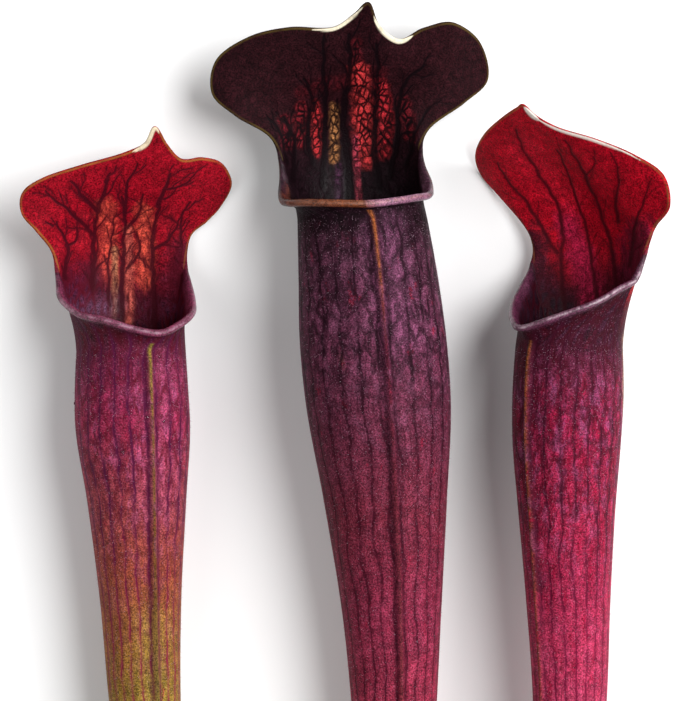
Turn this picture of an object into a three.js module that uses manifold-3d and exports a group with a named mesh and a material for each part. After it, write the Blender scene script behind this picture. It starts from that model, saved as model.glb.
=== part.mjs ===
// A lifted red pitcher plant, lying on its back: three hollow trumpet leaves, each with a rolled lip and an
// arched lid, on one creeping rhizome with its roots. Millimetres. X runs across the plant, Y from the roots
// towards the lids, and +Z up from the surface that it lies on.
import * as THREE from "three";
import { mergeVertices } from "three/addons/utils/BufferGeometryUtils.js";
import Module from "manifold-3d";

// Driving sizes of a leaf
const WALL = 0.9; // thickness of the leaf, the same in tube and lid
const SEAT_GAP = 0.3; // between a leaf's foot and the rhizome it grows from
const THROAT_DROP = 6; // the tube's own form ends this far below the front of the lip
const FOOT_Y = -330; // where the leaves leave the rhizome
const HOLLOW_Y = -290; // bottom of the hollow in a leaf
const KEEL_HEIGHT = 1.5; // the narrow wing down the front of the tube
const KEEL_HALF_WIDTH = 1.1;
const LID_EDGE = 0.45; // radius of the lid's rounded margin
const RIM_PULL = 9; // how far below the rim its flare is felt
const NECK_TURN = 76; // half angle of the tube's wall that runs on into the lid, in degrees
const POINT_KEY = 14; // outline keys: the foot of the small point at the lid's apex
const LID_TIP_KEY = 56; // the widest point of a lobe
const NECK_KEY = 98; // and the neck, where the rim becomes the lid's side
const LIP_KEY = 118; // past this key the lip has its full roll

// Columns round a leaf, in degrees from the middle of its back, on one side
const LID_COLUMNS = [0, 4, 9, 16, 24, 33, 42, 51, 60, 68, 76];
const RIM_COLUMNS = [85, 95, 106, 118, 131, 145, 159, 169, 176];
const TUBE_ROWS = [-322, -312, -297, -290, -272, -240, -205, -165, -125, -85, -48, -18, 4];
const RIM_STEPS = 3; // rows from the throat to the rim and the neck
const LID_STEPS = 9; // rows from the neck to the top of the lid
const ROLL_STEPS = 5; // facets round the lip's roll
const LEAST_SLIM = 0.5; // a facet less high than this is split the other way

// Where the plant's own frame lies in the drawing the leaves are measured in
const ORIGIN = new THREE.Vector3(-1.9, -157.5, 0);

// Each leaf: its turn about its own axis, the lip's place and roll, the tube's stations from the foot upwards
// (height along Y, then axis x, axis z and radius), and its outline seen face on from the front, as
// [key, across, above the lip, forward of the axis] from the tip of the lid round both sides to the spout.
const LEAVES = {
  pitcher_left: {
    turn: 21, lip: [-62.5, 5.6, 16.6], roll: 1.05, foot: 6,
    tube: [
      [-330, -23, 9, 6.2], [-320, -23.4, 9.1, 5.4], [-300, -26, 9.6, 4.8], [-250, -35, 11, 5.6],
      [-200, -45.5, 12.6, 6.9], [-150, -54, 14, 8.5], [-100, -58.8, 15.2, 10.3], [-71, -60, 15.8, 11.7],
      [-43, -61.1, 16.2, 14.2], [-20, -62.3, 16.3, 16.5], [-10, -62.6, 16.4, 16.2], [6, -62.7, 16.6, 15.3],
    ],
    outline: [
      [0, 2.5, 57.5, 13.5], [6, 7.4, 53, 9], [14, 12.6, 49, 5.5], [26, 20, 49.2, 5], [38, 27, 47.5, 2],
      [48, 31, 42.5, -2], [60, 28.8, 36, -5], [72, 25, 32, -5.5], [86, 20.2, 27, -7.5], [98, 17.6, 18, -5],
      [107, 16.8, 15, -3], [115, 16.3, 11.8, -0.5], [123, 15.8, 9.2, 2.5], [133, 14.9, 6.6, 6], [150, 12, 4, 11.5],
      [165, 7.4, 1.6, 15.5], [180, 1.6, -0.5, 18],
      [-165, -5.4, 0.6, 16.5], [-150, -12, 3, 13], [-133, -17.2, 4.8, 7], [-123, -18.9, 7.4, 2],
      [-115, -19.6, 9.7, -1.5], [-107, -19.7, 12.8, -3.5], [-98, -20.2, 17, -5], [-86, -21.5, 23, -7],
      [-72, -26.7, 28.3, -4], [-60, -31, 33.5, -5.5], [-48, -31, 39.5, -4], [-38, -26.6, 43, -0.5],
      [-26, -17, 46.5, 4], [-14, -3.8, 50.5, 7.5], [-6, 1, 53.3, 10],
    ],
  },
  pitcher_middle: {
    turn: 9, lip: [2.7, 43.4, 19.6], roll: 1.1, foot: 6.4,
    tube: [
      [-330, 8, 9, 6.6], [-320, 8, 9.1, 5.8], [-300, 8.2, 9.7, 5.2], [-250, 9.4, 11.4, 6],
      [-200, 11, 13.4, 7.6], [-150, 12.3, 15.4, 9.6], [-100, 12.6, 17.3, 12.3], [-77, 12, 18.2, 14],
      [-43, 10.1, 19.6, 17.6], [-14, 8, 20.5, 20.8], [3, 6.6, 20.7, 21], [20, 5.3, 20.4, 20],
      [41, 3.2, 19.9, 18.3],
    ],
    outline: [
      [0, 1.1, 55, 9.5], [6, 4.3, 49.5, 5.5], [14, 10.5, 45.2, 1.5], [26, 18.5, 48.4, 2], [38, 27.2, 49.9, 2],
      [48, 35.2, 45.4, -3.5], [60, 38.8, 35, -8.5], [72, 32, 28.3, -7.5], [86, 21.6, 20.8, -7.5], [98, 17.9, 14.2, -4.5],
      [107, 17.6, 9.3, -2.5], [115, 18.4, 4.9, 0], [123, 18.3, 2.5, 3], [133, 17.4, 0.9, 7], [150, 12.6, -0.3, 13.5],
      [165, 6.5, -1.3, 17.5], [180, -0.8, -1.9, 20],
      [-165, -9.6, -1.6, 18], [-150, -16, -1.3, 14], [-133, -20.2, -1.1, 7], [-123, -21, -0.3, 2.5],
      [-115, -20.8, 2.1, -1], [-107, -20.7, 5.3, -3.5], [-98, -21.4, 11.1, -5.5], [-86, -24.5, 18, -8],
      [-72, -34.9, 24.1, -6], [-60, -41.2, 30.4, -8.5], [-48, -39.7, 40.1, -7], [-38, -31.7, 45.6, -2.5],
      [-26, -20.5, 48.2, 2], [-14, -7.5, 48.4, 4], [-6, -2.2, 52.2, 6.5],
    ],
  },
  pitcher_right: {
    turn: -47, lip: [62.1, 7, 22.7], roll: 0.95, foot: 6,
    tube: [
      [-330, 38, 9, 6.2], [-320, 38.2, 9.2, 5.4], [-300, 39.8, 9.9, 4.8], [-250, 46.5, 11.8, 5.6],
      [-200, 54, 13.8, 7], [-150, 60, 15.8, 8.7], [-100, 62.9, 17.8, 10.6], [-71, 62.4, 19, 12.1],
      [-43, 61.9, 20.1, 14.1], [-26, 61.9, 20.8, 15.5], [-14, 62.2, 21.6, 15.9], [6, 62.6, 22.7, 15.1],
    ],
    outline: [
      [0, -3.7, 62.3, 14.5], [6, -0.8, 59.2, 12.5], [14, 4.2, 56, 9.5], [26, 16, 52.2, 5], [38, 26.3, 47.6, 0],
      [48, 32.8, 42.6, -4], [60, 33.2, 33.9, -6.5], [72, 25.9, 28.6, -9], [86, 23.8, 24.5, -8.6], [98, 22.2, 20.5, -7.9],
      [107, 21.2, 17, -6.8], [115, 20.6, 14.6, -6], [123, 20, 12.5, -4.8], [133, 19.1, 10.5, -0.7], [150, 16.6, 6.3, 7],
      [165, 9.8, 2.5, 14.5], [180, 1.4, -0.4, 18.5],
      [-165, -4, 1.4, 16], [-150, -9, 4, 11.5], [-133, -13.6, 7.5, 5.5], [-123, -15, 10.1, 2],
      [-115, -15.9, 12.4, -0.5], [-107, -17, 15.3, -3], [-98, -17.8, 18.5, -4], [-86, -18.7, 23.6, -4.5],
      [-72, -21.4, 29.1, -3.5], [-60, -27.9, 36.7, -1], [-48, -32.5, 43.9, 3], [-38, -31, 49, 6.5],
      [-26, -23.7, 54.8, 10], [-14, -12.6, 59.8, 12.5], [-6, -6.6, 61.6, 14],
    ],
  },
};

// The rhizome creeps along X. Its profile is [x, radius], and the roots leave its underside.
const RHIZOME_AXIS = { y: -340.5, z: 8.6 };
const RHIZOME_SIDES = 16;
const RHIZOME_PROFILE = [
  [-39, 0], [-38.5, 3.5], [-36, 6.6], [-31, 8.4], [-28, 7.7], [-22, 8.9], [-17, 8], [-10, 8.8], [-5, 8],
  [1, 8.9], [8, 9], [13, 8.1], [19, 8.7], [25, 7.9], [32, 8.8], [39, 8.3], [45, 7.2], [51, 5.6], [56, 3.4],
  [60, 1.4], [62, 0],
];
const ROOT_COUNT = 15;
const ROOT_SIDES = 6;
const ROOT_STEPS = 11;
const ROOT_SEED = 7;

const wasm = await Module();
wasm.setup();

const radians = THREE.MathUtils.degToRad;
const { clamp, lerp, smoothstep } = THREE.MathUtils;

// A smooth curve through rows of [key, ...values], read at a key. A closed one repeats every 360.
function through(rows, closed = false) {
  let table = [...rows].sort((a, b) => a[0] - b[0]);
  if (closed) {
    const shifted = (row, turn) => [row[0] + turn, ...row.slice(1)];
    table = [...table.slice(-2).map((r) => shifted(r, -360)), ...table, ...table.slice(0, 2).map((r) => shifted(r, 360))];
  }
  const last = table.length - 1;
  const slope = (i, k) => (table[i + 1][k] - table[i][k]) / (table[i + 1][0] - table[i][0]);
  const tangent = (i, k) => {
    if (i === 0) return slope(0, k);
    if (i === last) return slope(last - 1, k);
    const before = table[i][0] - table[i - 1][0];
    const after = table[i + 1][0] - table[i][0];
    return (slope(i - 1, k) * after + slope(i, k) * before) / (before + after);
  };
  return (key) => {
    let i = 0;
    while (i < last - 1 && key >= table[i + 1][0]) i += 1;
    const span = table[i + 1][0] - table[i][0];
    const t = (key - table[i][0]) / span;
    return table[i].slice(1).map((_, n) => {
      const k = n + 1;
      return (
        (2 * t ** 3 - 3 * t ** 2 + 1) * table[i][k] + (t ** 3 - 2 * t ** 2 + t) * span * tangent(i, k) +
        (3 * t ** 2 - 2 * t ** 3) * table[i + 1][k] + (t ** 3 - t ** 2) * span * tangent(i + 1, k)
      );
    });
  };
}

// A cubic from one point to another, leaving along one direction and arriving along the other.
function sweepTo(from, leave, to, arrive, t, pull = Infinity) {
  const reach = from.distanceTo(to);
  const point = new THREE.Vector3();
  point.addScaledVector(from, 2 * t ** 3 - 3 * t ** 2 + 1);
  point.addScaledVector(leave, reach * (t ** 3 - 2 * t ** 2 + t));
  point.addScaledVector(to, 3 * t ** 2 - 2 * t ** 3);
  point.addScaledVector(arrive, Math.min(reach, pull) * (t ** 3 - t ** 2));
  return point;
}

// The inner skin of one leaf: tube, throat, rim and lid as functions of the angle round it.
class LeafForm {
  constructor(sizes) {
    this.sizes = sizes;
    this.turn = radians(sizes.turn);
    this.station = through(sizes.tube);
    this.edge = through(sizes.outline, true);
    this.throatY = sizes.lip[1] - THROAT_DROP;
  }

  // From the leaf's own face-on frame (across, up, forward) to the plant's.
  place([across, up, forward]) {
    const [x, y, z] = this.sizes.lip;
    const c = Math.cos(this.turn);
    const s = Math.sin(this.turn);
    return new THREE.Vector3(x + across * c + forward * s, y + up, z + forward * c - across * s);
  }

  tube(angle, y, outset = 0) {
    const [x, z, radius] = this.station(y);
    const r = radius - WALL + outset;
    const a = radians(angle);
    const across = r * Math.sin(a);
    const forward = -r * Math.cos(a);
    const c = Math.cos(this.turn);
    const s = Math.sin(this.turn);
    return new THREE.Vector3(x + across * c + forward * s, y, z + forward * c - across * s);
  }

  outline(key) {
    return this.place(this.edge(key));
  }

  // The loop at the top of the tube: the rim in front, and across the back of the neck a hollow whose ends turn
  // outwards into the rim.
  rimPoint(angle) {
    const side = Math.sign(angle) || 1;
    const turn = Math.abs(angle);
    if (turn >= NECK_TURN) {
      const share = (turn - NECK_TURN) / (180 - NECK_TURN);
      return this.outline(side * lerp(NECK_KEY, 180, share));
    }
    const left = this.edge(-NECK_KEY);
    const right = this.edge(NECK_KEY);
    const share = 0.5 + (0.5 * Math.sin(radians(angle))) / Math.sin(radians(NECK_TURN));
    const depth = (1 - (angle / NECK_TURN) ** 2) ** 1.5;
    const [, , radius] = this.station(this.throatY);
    const forward = lerp(lerp(left[2], right[2], share), -(radius - WALL), depth);
    return this.place([lerp(left[0], right[0], share), lerp(left[1], right[1], share), forward]);
  }

  up(angle) {
    return this.tube(angle, this.throatY).sub(this.tube(angle, this.throatY - 2)).normalize();
  }

  // Which way the skin runs where it reaches the rim: flaring outwards at the lip, straight up at the neck.
  rimDirection(angle) {
    const flare = 1.4 * smoothstep(Math.abs(angle), NECK_TURN - 10, NECK_TURN + 24);
    const outward = this.place([Math.sin(radians(angle)) * flare, 1, -Math.cos(radians(angle)) * flare]);
    return outward.sub(this.place([0, 0, 0])).normalize();
  }

  throat(angle, share) {
    const direction = this.rimDirection(angle);
    const start = this.tube(angle, this.throatY);
    return sweepTo(start, this.up(angle), this.rimPoint(angle), direction, share, RIM_PULL);
  }

  // The top margin without the small point at its middle, which only the lid's last rows rise into.
  bluntTop(key) {
    const top = this.edge(key);
    if (Math.abs(key) >= POINT_KEY) return top;
    const [left, right] = [-POINT_KEY, POINT_KEY].map((k) => this.edge(k));
    const across = (key + POINT_KEY) / (2 * POINT_KEY);
    const blunt = 1 - (key / POINT_KEY) ** 4;
    return top.map((value, i) => lerp(value, lerp(left[i], right[i], across), blunt));
  }

  // A line of the lid, from the neck to the top margin, leaning forwards with its lobes bent back.
  lidLine(angle, share) {
    const key = (LID_TIP_KEY * angle) / NECK_TURN;
    const top = this.bluntTop(key);
    const neck = this.edge(NECK_KEY);
    const away = [top[0] * 0.8, top[1] - neck[1], top[2] + 14 - 0.4 * Math.abs(top[0])];
    const arrive = this.place(away).sub(this.place([0, 0, 0])).normalize();
    const point = sweepTo(this.rimPoint(angle), this.rimDirection(angle), this.place(top), arrive, share);
    return point.add(this.outline(key).sub(this.place(top)).multiplyScalar(share ** 5));
  }

  lid(angle, share) {
    const point = this.lidLine(angle, share);
    const side = Math.sign(angle) || 1;
    const margin = this.outline(side * lerp(NECK_KEY, LID_TIP_KEY, share));
    const pull = (Math.abs(angle) / NECK_TURN) ** 2;
    return point.add(margin.sub(this.lidLine(side * NECK_TURN, share)).multiplyScalar(pull));
  }

  // 0 along the lid and 1 along the lip.
  lipShare(key) {
    return smoothstep(Math.abs(key), NECK_KEY - 12, LIP_KEY);
  }

  rollRadius(key) {
    return lerp(LID_EDGE, this.sizes.roll, this.lipShare(key));
  }
}

// The outward normal of a skin given as a function of angle and share, up to a furthest angle.
function normalOf(skin, angle, share, furthest = 200) {
  const along = skin(angle, Math.min(share + 0.01, 1)).sub(skin(angle, Math.max(share - 0.01, 0)));
  const around = skin(Math.min(angle + 0.5, furthest), share).sub(skin(Math.max(angle - 0.5, -furthest), share));
  return along.cross(around).normalize();
}

// One leaf as a closed shell: an inner and an outer skin joined round the rim and the lid by the rolled edge.
function leafGeometry(form) {
  const { roll } = form.sizes;
  const rimSide = [...LID_COLUMNS.slice(1), ...RIM_COLUMNS];
  const columns = [...rimSide.map((a) => -a).reverse(), 0, ...rimSide, 180];
  const lidColumns = columns.filter((a) => Math.abs(a) <= NECK_TURN);
  const points = [];
  const faces = [];
  const add = (p) => points.push(new THREE.Vector3(p.x, p.y, Math.max(p.z, 0))) - 1;
  const quad = (a, b, c, d) => faces.push([a, b, c], [a, c, d]);
  const tubeSkin = (angle, y) => form.tube(angle, y);
  const throatSkin = (angle, share) => form.throat(angle, share);
  const lidSkin = (angle, share) => form.lid(angle, share);

  const keel = (angle, y) => {
    const [, , radius] = form.station(Math.min(y, form.throatY));
    const across = radians(180 - Math.abs(angle)) * radius;
    const fade = smoothstep(y, FOOT_Y, FOOT_Y + 60) * smoothstep(form.sizes.lip[1] - y, 3, 9);
    return KEEL_HEIGHT * fade * Math.exp(-((across / KEEL_HALF_WIDTH) ** 2));
  };
  const outerThroat = (angle, share) => {
    const p = throatSkin(angle, share);
    const n = normalOf(throatSkin, angle, share);
    return p.addScaledVector(n, WALL + keel(angle, p.y));
  };

  const shown = (y) => (y > HOLLOW_Y ? y : null);
  const outerRows = TUBE_ROWS.concat(form.throatY).filter((y) => y <= form.throatY);
  const foot = columns.map((a) => add(form.tube(a, FOOT_Y + SEAT_GAP, WALL)));
  const outer = [foot, ...outerRows.map((y) => columns.map((a) => add(form.tube(a, y, WALL + keel(a, y)))))];
  const inner = outerRows.filter(shown).map((y) => columns.map((a) => add(tubeSkin(a, y))));

  const joint = (angle) => Math.abs(angle) <= NECK_TURN;
  const keyOf = (angle) => Math.sign(angle) * lerp(NECK_KEY, 180, (Math.abs(angle) - NECK_TURN) / (180 - NECK_TURN));
  for (let i = 1; i <= RIM_STEPS; i += 1) {
    const share = i / RIM_STEPS;
    const last = i === RIM_STEPS;
    inner.push(columns.map((a) => {
      if (!last || Math.abs(a) < NECK_TURN) return add(throatSkin(a, share));
      return null;
    }));
    outer.push(columns.map((a) => {
      if (!last || Math.abs(a) < NECK_TURN) return add(outerThroat(a, share));
      return null;
    }));
  }

  // The lid's rows, whose outermost columns and top row belong to the rolled edge.
  const innerLid = [inner.at(-1).filter((_, i) => joint(columns[i]))];
  const outerLid = [outer.at(-1).filter((_, i) => joint(columns[i]))];
  for (let i = 1; i <= LID_STEPS; i += 1) {
    const share = i / LID_STEPS;
    const own = (a) => i < LID_STEPS && Math.abs(a) < NECK_TURN;
    innerLid.push(lidColumns.map((a) => (own(a) ? add(lidSkin(a, share)) : null)));
    outerLid.push(lidColumns.map((a) => {
      if (!own(a)) return null;
      return add(lidSkin(a, share).addScaledVector(normalOf(lidSkin, a, share, NECK_TURN), WALL));
    }));
  }

  // The open edge, once round: rim, right side of the lid, top, left side, rim.
  const rimColumns = columns.map((a, i) => ({ a, i })).filter(({ a }) => Math.abs(a) > NECK_TURN);
  const rimEntry = ({ a, i }) => ({
    key: a === 180 ? 180 : keyOf(a), normal: normalOf(throatSkin, a, 1),
    set: (id, skin) => { (skin ? outer : inner).at(-1)[i] = id; },
  });
  const sideEntry = (side, i) => ({
    key: side * lerp(NECK_KEY, LID_TIP_KEY, i / LID_STEPS),
    normal: normalOf(lidSkin, side * NECK_TURN, i / LID_STEPS, NECK_TURN),
    set: (id, skin) => {
      const column = side > 0 ? lidColumns.length - 1 : 0;
      (skin ? outerLid : innerLid)[i][column] = id;
      if (i === 0) (skin ? outer : inner).at(-1)[columns.indexOf(side * NECK_TURN)] = id;
    },
  });
  const topEntry = (a, i) => ({
    key: (LID_TIP_KEY * a) / NECK_TURN, normal: normalOf(lidSkin, a, 1, NECK_TURN),
    set: (id, skin) => { (skin ? outerLid : innerLid)[LID_STEPS][i] = id; },
  });
  const steps = [...Array(LID_STEPS + 1).keys()];
  const inTop = lidColumns.map((a, i) => ({ a, i })).slice(1, -1).reverse();
  const loop = [
    ...rimColumns.filter(({ a }) => a > 0).reverse().map(rimEntry),
    ...steps.map((i) => sideEntry(1, i)),
    ...inTop.map(({ a, i }) => topEntry(a, i)),
    ...steps.map((i) => sideEntry(-1, i)).reverse(),
    ...rimColumns.filter(({ a }) => a < 0).reverse().map(rimEntry),
  ];
  // The roll turns with the skin, smoothed along the edge.
  let normals = loop.map((entry) => entry.normal);
  for (let pass = 0; pass < 3; pass += 1) {
    normals = normals.map((normal, n) => {
      const beside = normals[(n + 1) % loop.length].clone().add(normals.at(n - 1));
      return beside.addScaledVector(normal, 2).normalize();
    });
  }
  const rings = loop.map((entry, n) => {
    const at = form.outline(entry.key);
    const next = form.outline(loop[(n + 1) % loop.length].key);
    const before = form.outline(loop.at(n - 1).key);
    const normal = normals[n];
    const outward = normal.clone().cross(next.sub(before)).normalize();
    const radius = form.rollRadius(entry.key);
    const reach = radius * form.lipShare(entry.key);
    const centre = at.clone().addScaledVector(outward, reach).addScaledVector(normal, radius);
    const end = -Math.acos(clamp(WALL / radius - 1, -1, 1));
    const ring = [];
    for (let i = 0; i <= ROLL_STEPS; i += 1) {
      const turn = lerp(Math.PI, end, i / ROLL_STEPS);
      const p = centre.clone().addScaledVector(normal, radius * Math.cos(turn));
      ring.push(add(p.addScaledVector(outward, radius * Math.sin(turn))));
    }
    entry.set(ring[0], false);
    entry.set(ring.at(-1), true);
    return ring;
  });

  // Both skins are split along the same diagonals: mirrored about the middle of the leaf, or the other way where
  // that would leave a needle. The inner skin has fewer rows, as it starts at the bottom of the hollow.
  const slimness = (a, b, c) => {
    const [p, q, r] = [points[a], points[b], points[c]];
    const longest = Math.max(p.distanceTo(q), q.distanceTo(r), r.distanceTo(p));
    return q.clone().sub(p).cross(r.clone().sub(p)).length() / longest;
  };
  const rising = ([a, b, c, d]) => Math.min(slimness(a, b, c), slimness(a, c, d));
  const falling = ([a, b, c, d]) => Math.min(slimness(b, c, d), slimness(b, d, a));
  const skinFaces = (outside, inside, closed) => {
    const below = outside.length - inside.length;
    for (let j = 0; j + 1 < outside.length; j += 1) {
      const count = outside[j].length;
      for (let i = 0; i < (closed ? count : count - 1); i += 1) {
        const k = (i + 1) % count;
        const corners = (rows, n) => [rows[n][i], rows[n][k], rows[n + 1][k], rows[n + 1][i]];
        const skins = [corners(outside, j)];
        if (j >= below) skins.push(corners(inside, j - below));
        const [up, down] = [rising, falling].map((way) => Math.min(...skins.map(way)));
        const mirrored = i < (count - 1) / 2;
        const slim = (mirrored ? up : down) < LEAST_SLIM;
        const rises = slim ? up > down : mirrored;
        skins.forEach(([a, b, c, d], n) => {
          const [e, f, g, h] = rises ? [a, b, c, d] : [b, c, d, a];
          if (n === 0) quad(e, h, g, f);
          else quad(e, f, g, h);
        });
      }
    }
  };
  skinFaces(outer, inner, true);
  skinFaces(outerLid, innerLid, false);
  rings.forEach((ring, n) => {
    const next = rings[(n + 1) % rings.length];
    for (let i = 0; i < ROLL_STEPS; i += 1) quad(ring[i], ring[i + 1], next[i + 1], next[i]);
  });

  // The foot's flat end, and the rounded bottom of the hollow.
  const cap = (row, tip, flip) => row.forEach((id, i) => {
    const next = row[(i + 1) % row.length];
    faces.push(flip ? [tip, next, id] : [tip, id, next]);
  });
  const [footX, footZ] = form.station(FOOT_Y);
  cap(foot, add(new THREE.Vector3(footX, FOOT_Y + SEAT_GAP, footZ)), false);
  const [hollowX, hollowZ] = form.station(HOLLOW_Y);
  cap(inner[0], add(new THREE.Vector3(hollowX, HOLLOW_Y, hollowZ)), true);

  const geometry = new THREE.BufferGeometry();
  geometry.setAttribute("position", new THREE.Float32BufferAttribute(points.flatMap((p) => p.toArray()), 3));
  geometry.setIndex(faces.flat());
  return geometry;
}

// Repeatable draws between 0 and 1.
function drawer(seed) {
  let state = seed;
  return () => {
    state = (state * 16807) % 2147483647;
    return state / 2147483647;
  };
}

function toSolid(geometry) {
  const bare = geometry.clone();
  bare.deleteAttribute("normal");
  bare.deleteAttribute("uv");
  const merged = mergeVertices(bare, 1e-4);
  return new wasm.Manifold(new wasm.Mesh({
    numProp: 3,
    vertProperties: new Float32Array(merged.attributes.position.array),
    triVerts: new Uint32Array(merged.index.array),
  }));
}

function toGeometry(solid) {
  const mesh = solid.getMesh();
  const geometry = new THREE.BufferGeometry();
  geometry.setAttribute("position", new THREE.BufferAttribute(new Float32Array(mesh.vertProperties), 3));
  geometry.setIndex(new THREE.BufferAttribute(new Uint32Array(mesh.triVerts), 1));
  geometry.computeVertexNormals();
  return geometry;
}

// A root: it leaves the rhizome backwards or downwards and then lies along the surface.
function rootGeometry(number, draw) {
  const share = (number + 0.5) / ROOT_COUNT;
  const radius = lerp(0.75, 1.25, draw());
  const length = lerp(42, 74, draw());
  const x = lerp(-33, 47, share) + lerp(-2, 2, draw());
  const height = number % 2 ? lerp(3, 6, draw()) : lerp(9, 12, draw());
  const spread = lerp(-0.55, 0.55, share) + lerp(-0.18, 0.18, draw());
  const wave = lerp(-5, 5, draw());
  const points = [0, 0.12, 0.3, 0.5, 0.7, 0.86, 1].map((t) => {
    const along = t * length;
    const rise = Math.max(0, 1 - t * 2.6) ** 1.5;
    return new THREE.Vector3(
      x + spread * along + wave * Math.sin(t * 5) * t,
      RHIZOME_AXIS.y - 2 - along,
      lerp(radius + 0.05, height, rise),
    );
  });
  const section = new THREE.Shape();
  for (let i = 0; i < ROOT_SIDES; i += 1) {
    const a = (i / ROOT_SIDES) * Math.PI * 2;
    section[i ? "lineTo" : "moveTo"](radius * Math.cos(a), radius * Math.sin(a));
  }
  const path = new THREE.CatmullRomCurve3(points);
  return new THREE.ExtrudeGeometry(section, { steps: ROOT_STEPS, extrudePath: path, bevelEnabled: false });
}

function rhizomeGeometry() {
  const profile = RHIZOME_PROFILE.map(([x, r]) => new THREE.Vector2(r, x));
  const body = new THREE.LatheGeometry(profile, RHIZOME_SIDES);
  body.rotateZ(-Math.PI / 2);
  body.translate(0, RHIZOME_AXIS.y, RHIZOME_AXIS.z);
  let solid = toSolid(body);
  for (const { tube, foot } of Object.values(LEAVES)) {
    const [, x, z] = tube[0];
    const seat = new THREE.CylinderGeometry(foot, foot + 1.6, FOOT_Y - RHIZOME_AXIS.y, 14);
    seat.translate(x, (FOOT_Y + RHIZOME_AXIS.y) / 2, z);
    solid = solid.add(toSolid(seat));
  }
  const draw = drawer(ROOT_SEED);
  for (let i = 0; i < ROOT_COUNT; i += 1) solid = solid.add(toSolid(rootGeometry(i, draw)));
  const floor = new THREE.BoxGeometry(400, 400, 20);
  floor.translate(0, FOOT_Y, -10);
  return toGeometry(solid.subtract(toSolid(floor)));
}

const SKIN = {
  pitcher_left: { color: 0x8e2c46, roughness: 0.42 },
  pitcher_middle: { color: 0x54202f, roughness: 0.4 },
  pitcher_right: { color: 0xa32445, roughness: 0.42 },
};

const plant = new THREE.Group();
plant.position.copy(ORIGIN).negate();
for (const [name, sizes] of Object.entries(LEAVES)) {
  const geometry = leafGeometry(new LeafForm(sizes));
  const leaf = new THREE.Mesh(geometry, new THREE.MeshStandardMaterial({ ...SKIN[name], metalness: 0 }));
  leaf.name = name;
  plant.add(leaf);
}
const bark = new THREE.MeshStandardMaterial({ color: 0x5b3a26, roughness: 0.85, metalness: 0 });
const rhizome = new THREE.Mesh(rhizomeGeometry(), bark);
rhizome.name = "rhizome_with_roots";
plant.add(rhizome);

export default plant;
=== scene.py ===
"""A lifted red pitcher plant, lying on its back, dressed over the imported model.

Three trumpet leaves with rolled lips and arched, veined lids stand on one creeping rhizome with its roots.
The leaves are drawn in the plant's own millimetres, as their solids are, and their meshes are in metres in
the frame.
"""

import logging
import math
from dataclasses import dataclass, field
from enum import Enum
from functools import partial
from typing import Sequence

import bpy
import numpy as np
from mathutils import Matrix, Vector, noise
from mathutils.kdtree import KDTree


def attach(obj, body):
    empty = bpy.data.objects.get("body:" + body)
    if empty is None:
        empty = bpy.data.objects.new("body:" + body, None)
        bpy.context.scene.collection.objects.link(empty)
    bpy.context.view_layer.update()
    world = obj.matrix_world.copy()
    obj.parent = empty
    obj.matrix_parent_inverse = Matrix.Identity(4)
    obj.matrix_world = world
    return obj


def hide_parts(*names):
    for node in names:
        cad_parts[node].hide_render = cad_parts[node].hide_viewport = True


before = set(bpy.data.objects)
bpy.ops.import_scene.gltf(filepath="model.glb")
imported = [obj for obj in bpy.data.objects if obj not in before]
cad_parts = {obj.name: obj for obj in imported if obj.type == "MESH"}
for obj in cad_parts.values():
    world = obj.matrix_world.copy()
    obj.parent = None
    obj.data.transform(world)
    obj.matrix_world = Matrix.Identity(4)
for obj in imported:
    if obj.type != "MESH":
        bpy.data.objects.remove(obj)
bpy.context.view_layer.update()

Array = np.ndarray

log = logging.getLogger("pitcher_plant")

# Millimetres and degrees, shared with the solids
ORIGIN = np.array([-1.9, -157.5, 0.0])
WALL = 0.9
SEAT_GAP = 0.3
THROAT_DROP = 6.0
FOOT_Y = -330.0
HOLLOW_Y = -290.0
KEEL_HEIGHT = 1.5
KEEL_HALF_WIDTH = 1.1
LID_EDGE = 0.45
RIM_PULL = 9.0
NECK_TURN = 76.0
POINT_KEY = 14.0
LID_TIP_KEY = 56.0
NECK_KEY = 98.0
LIP_KEY = 118.0

# From this turn to the middle of the front, a leaf's columns stand closer, for the wing
KEEL_TURN = 168.0

# Millimetres of pattern round a tube for each degree, as on one 15 mm in radius
U_PER_DEGREE = 0.2618

SPECK_COLOUR = "B98FA6"


def linear(code: str) -> tuple[float, float, float, float]:
    """The linear colour of an sRGB hex code.

    Args:
        code: six hex digits.

    Returns:
        Linear red, green, blue and an alpha of 1.
    """
    srgb = [int(code[i : i + 2], 16) / 255 for i in (0, 2, 4)]
    rgb = [c / 12.92 if c <= 0.04045 else ((c + 0.055) / 1.055) ** 2.4 for c in srgb]
    return (rgb[0], rgb[1], rgb[2], 1.0)


def lerp(a: Array | float, b: Array | float, t: Array | float) -> Array | float:
    """The value t of the way from a to b."""
    return a + (b - a) * t


def smoothstep(x: Array | float, low: float, high: float) -> Array:
    """0 below low, 1 above high and smooth between."""
    t = np.clip((np.asarray(x, float) - low) / (high - low), 0.0, 1.0)
    return t * t * (3 - 2 * t)


def unit(v: Array) -> Array:
    """The vectors scaled to a length of 1."""
    return v / np.maximum(np.linalg.norm(v, axis=-1, keepdims=True), 1e-12)


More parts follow.
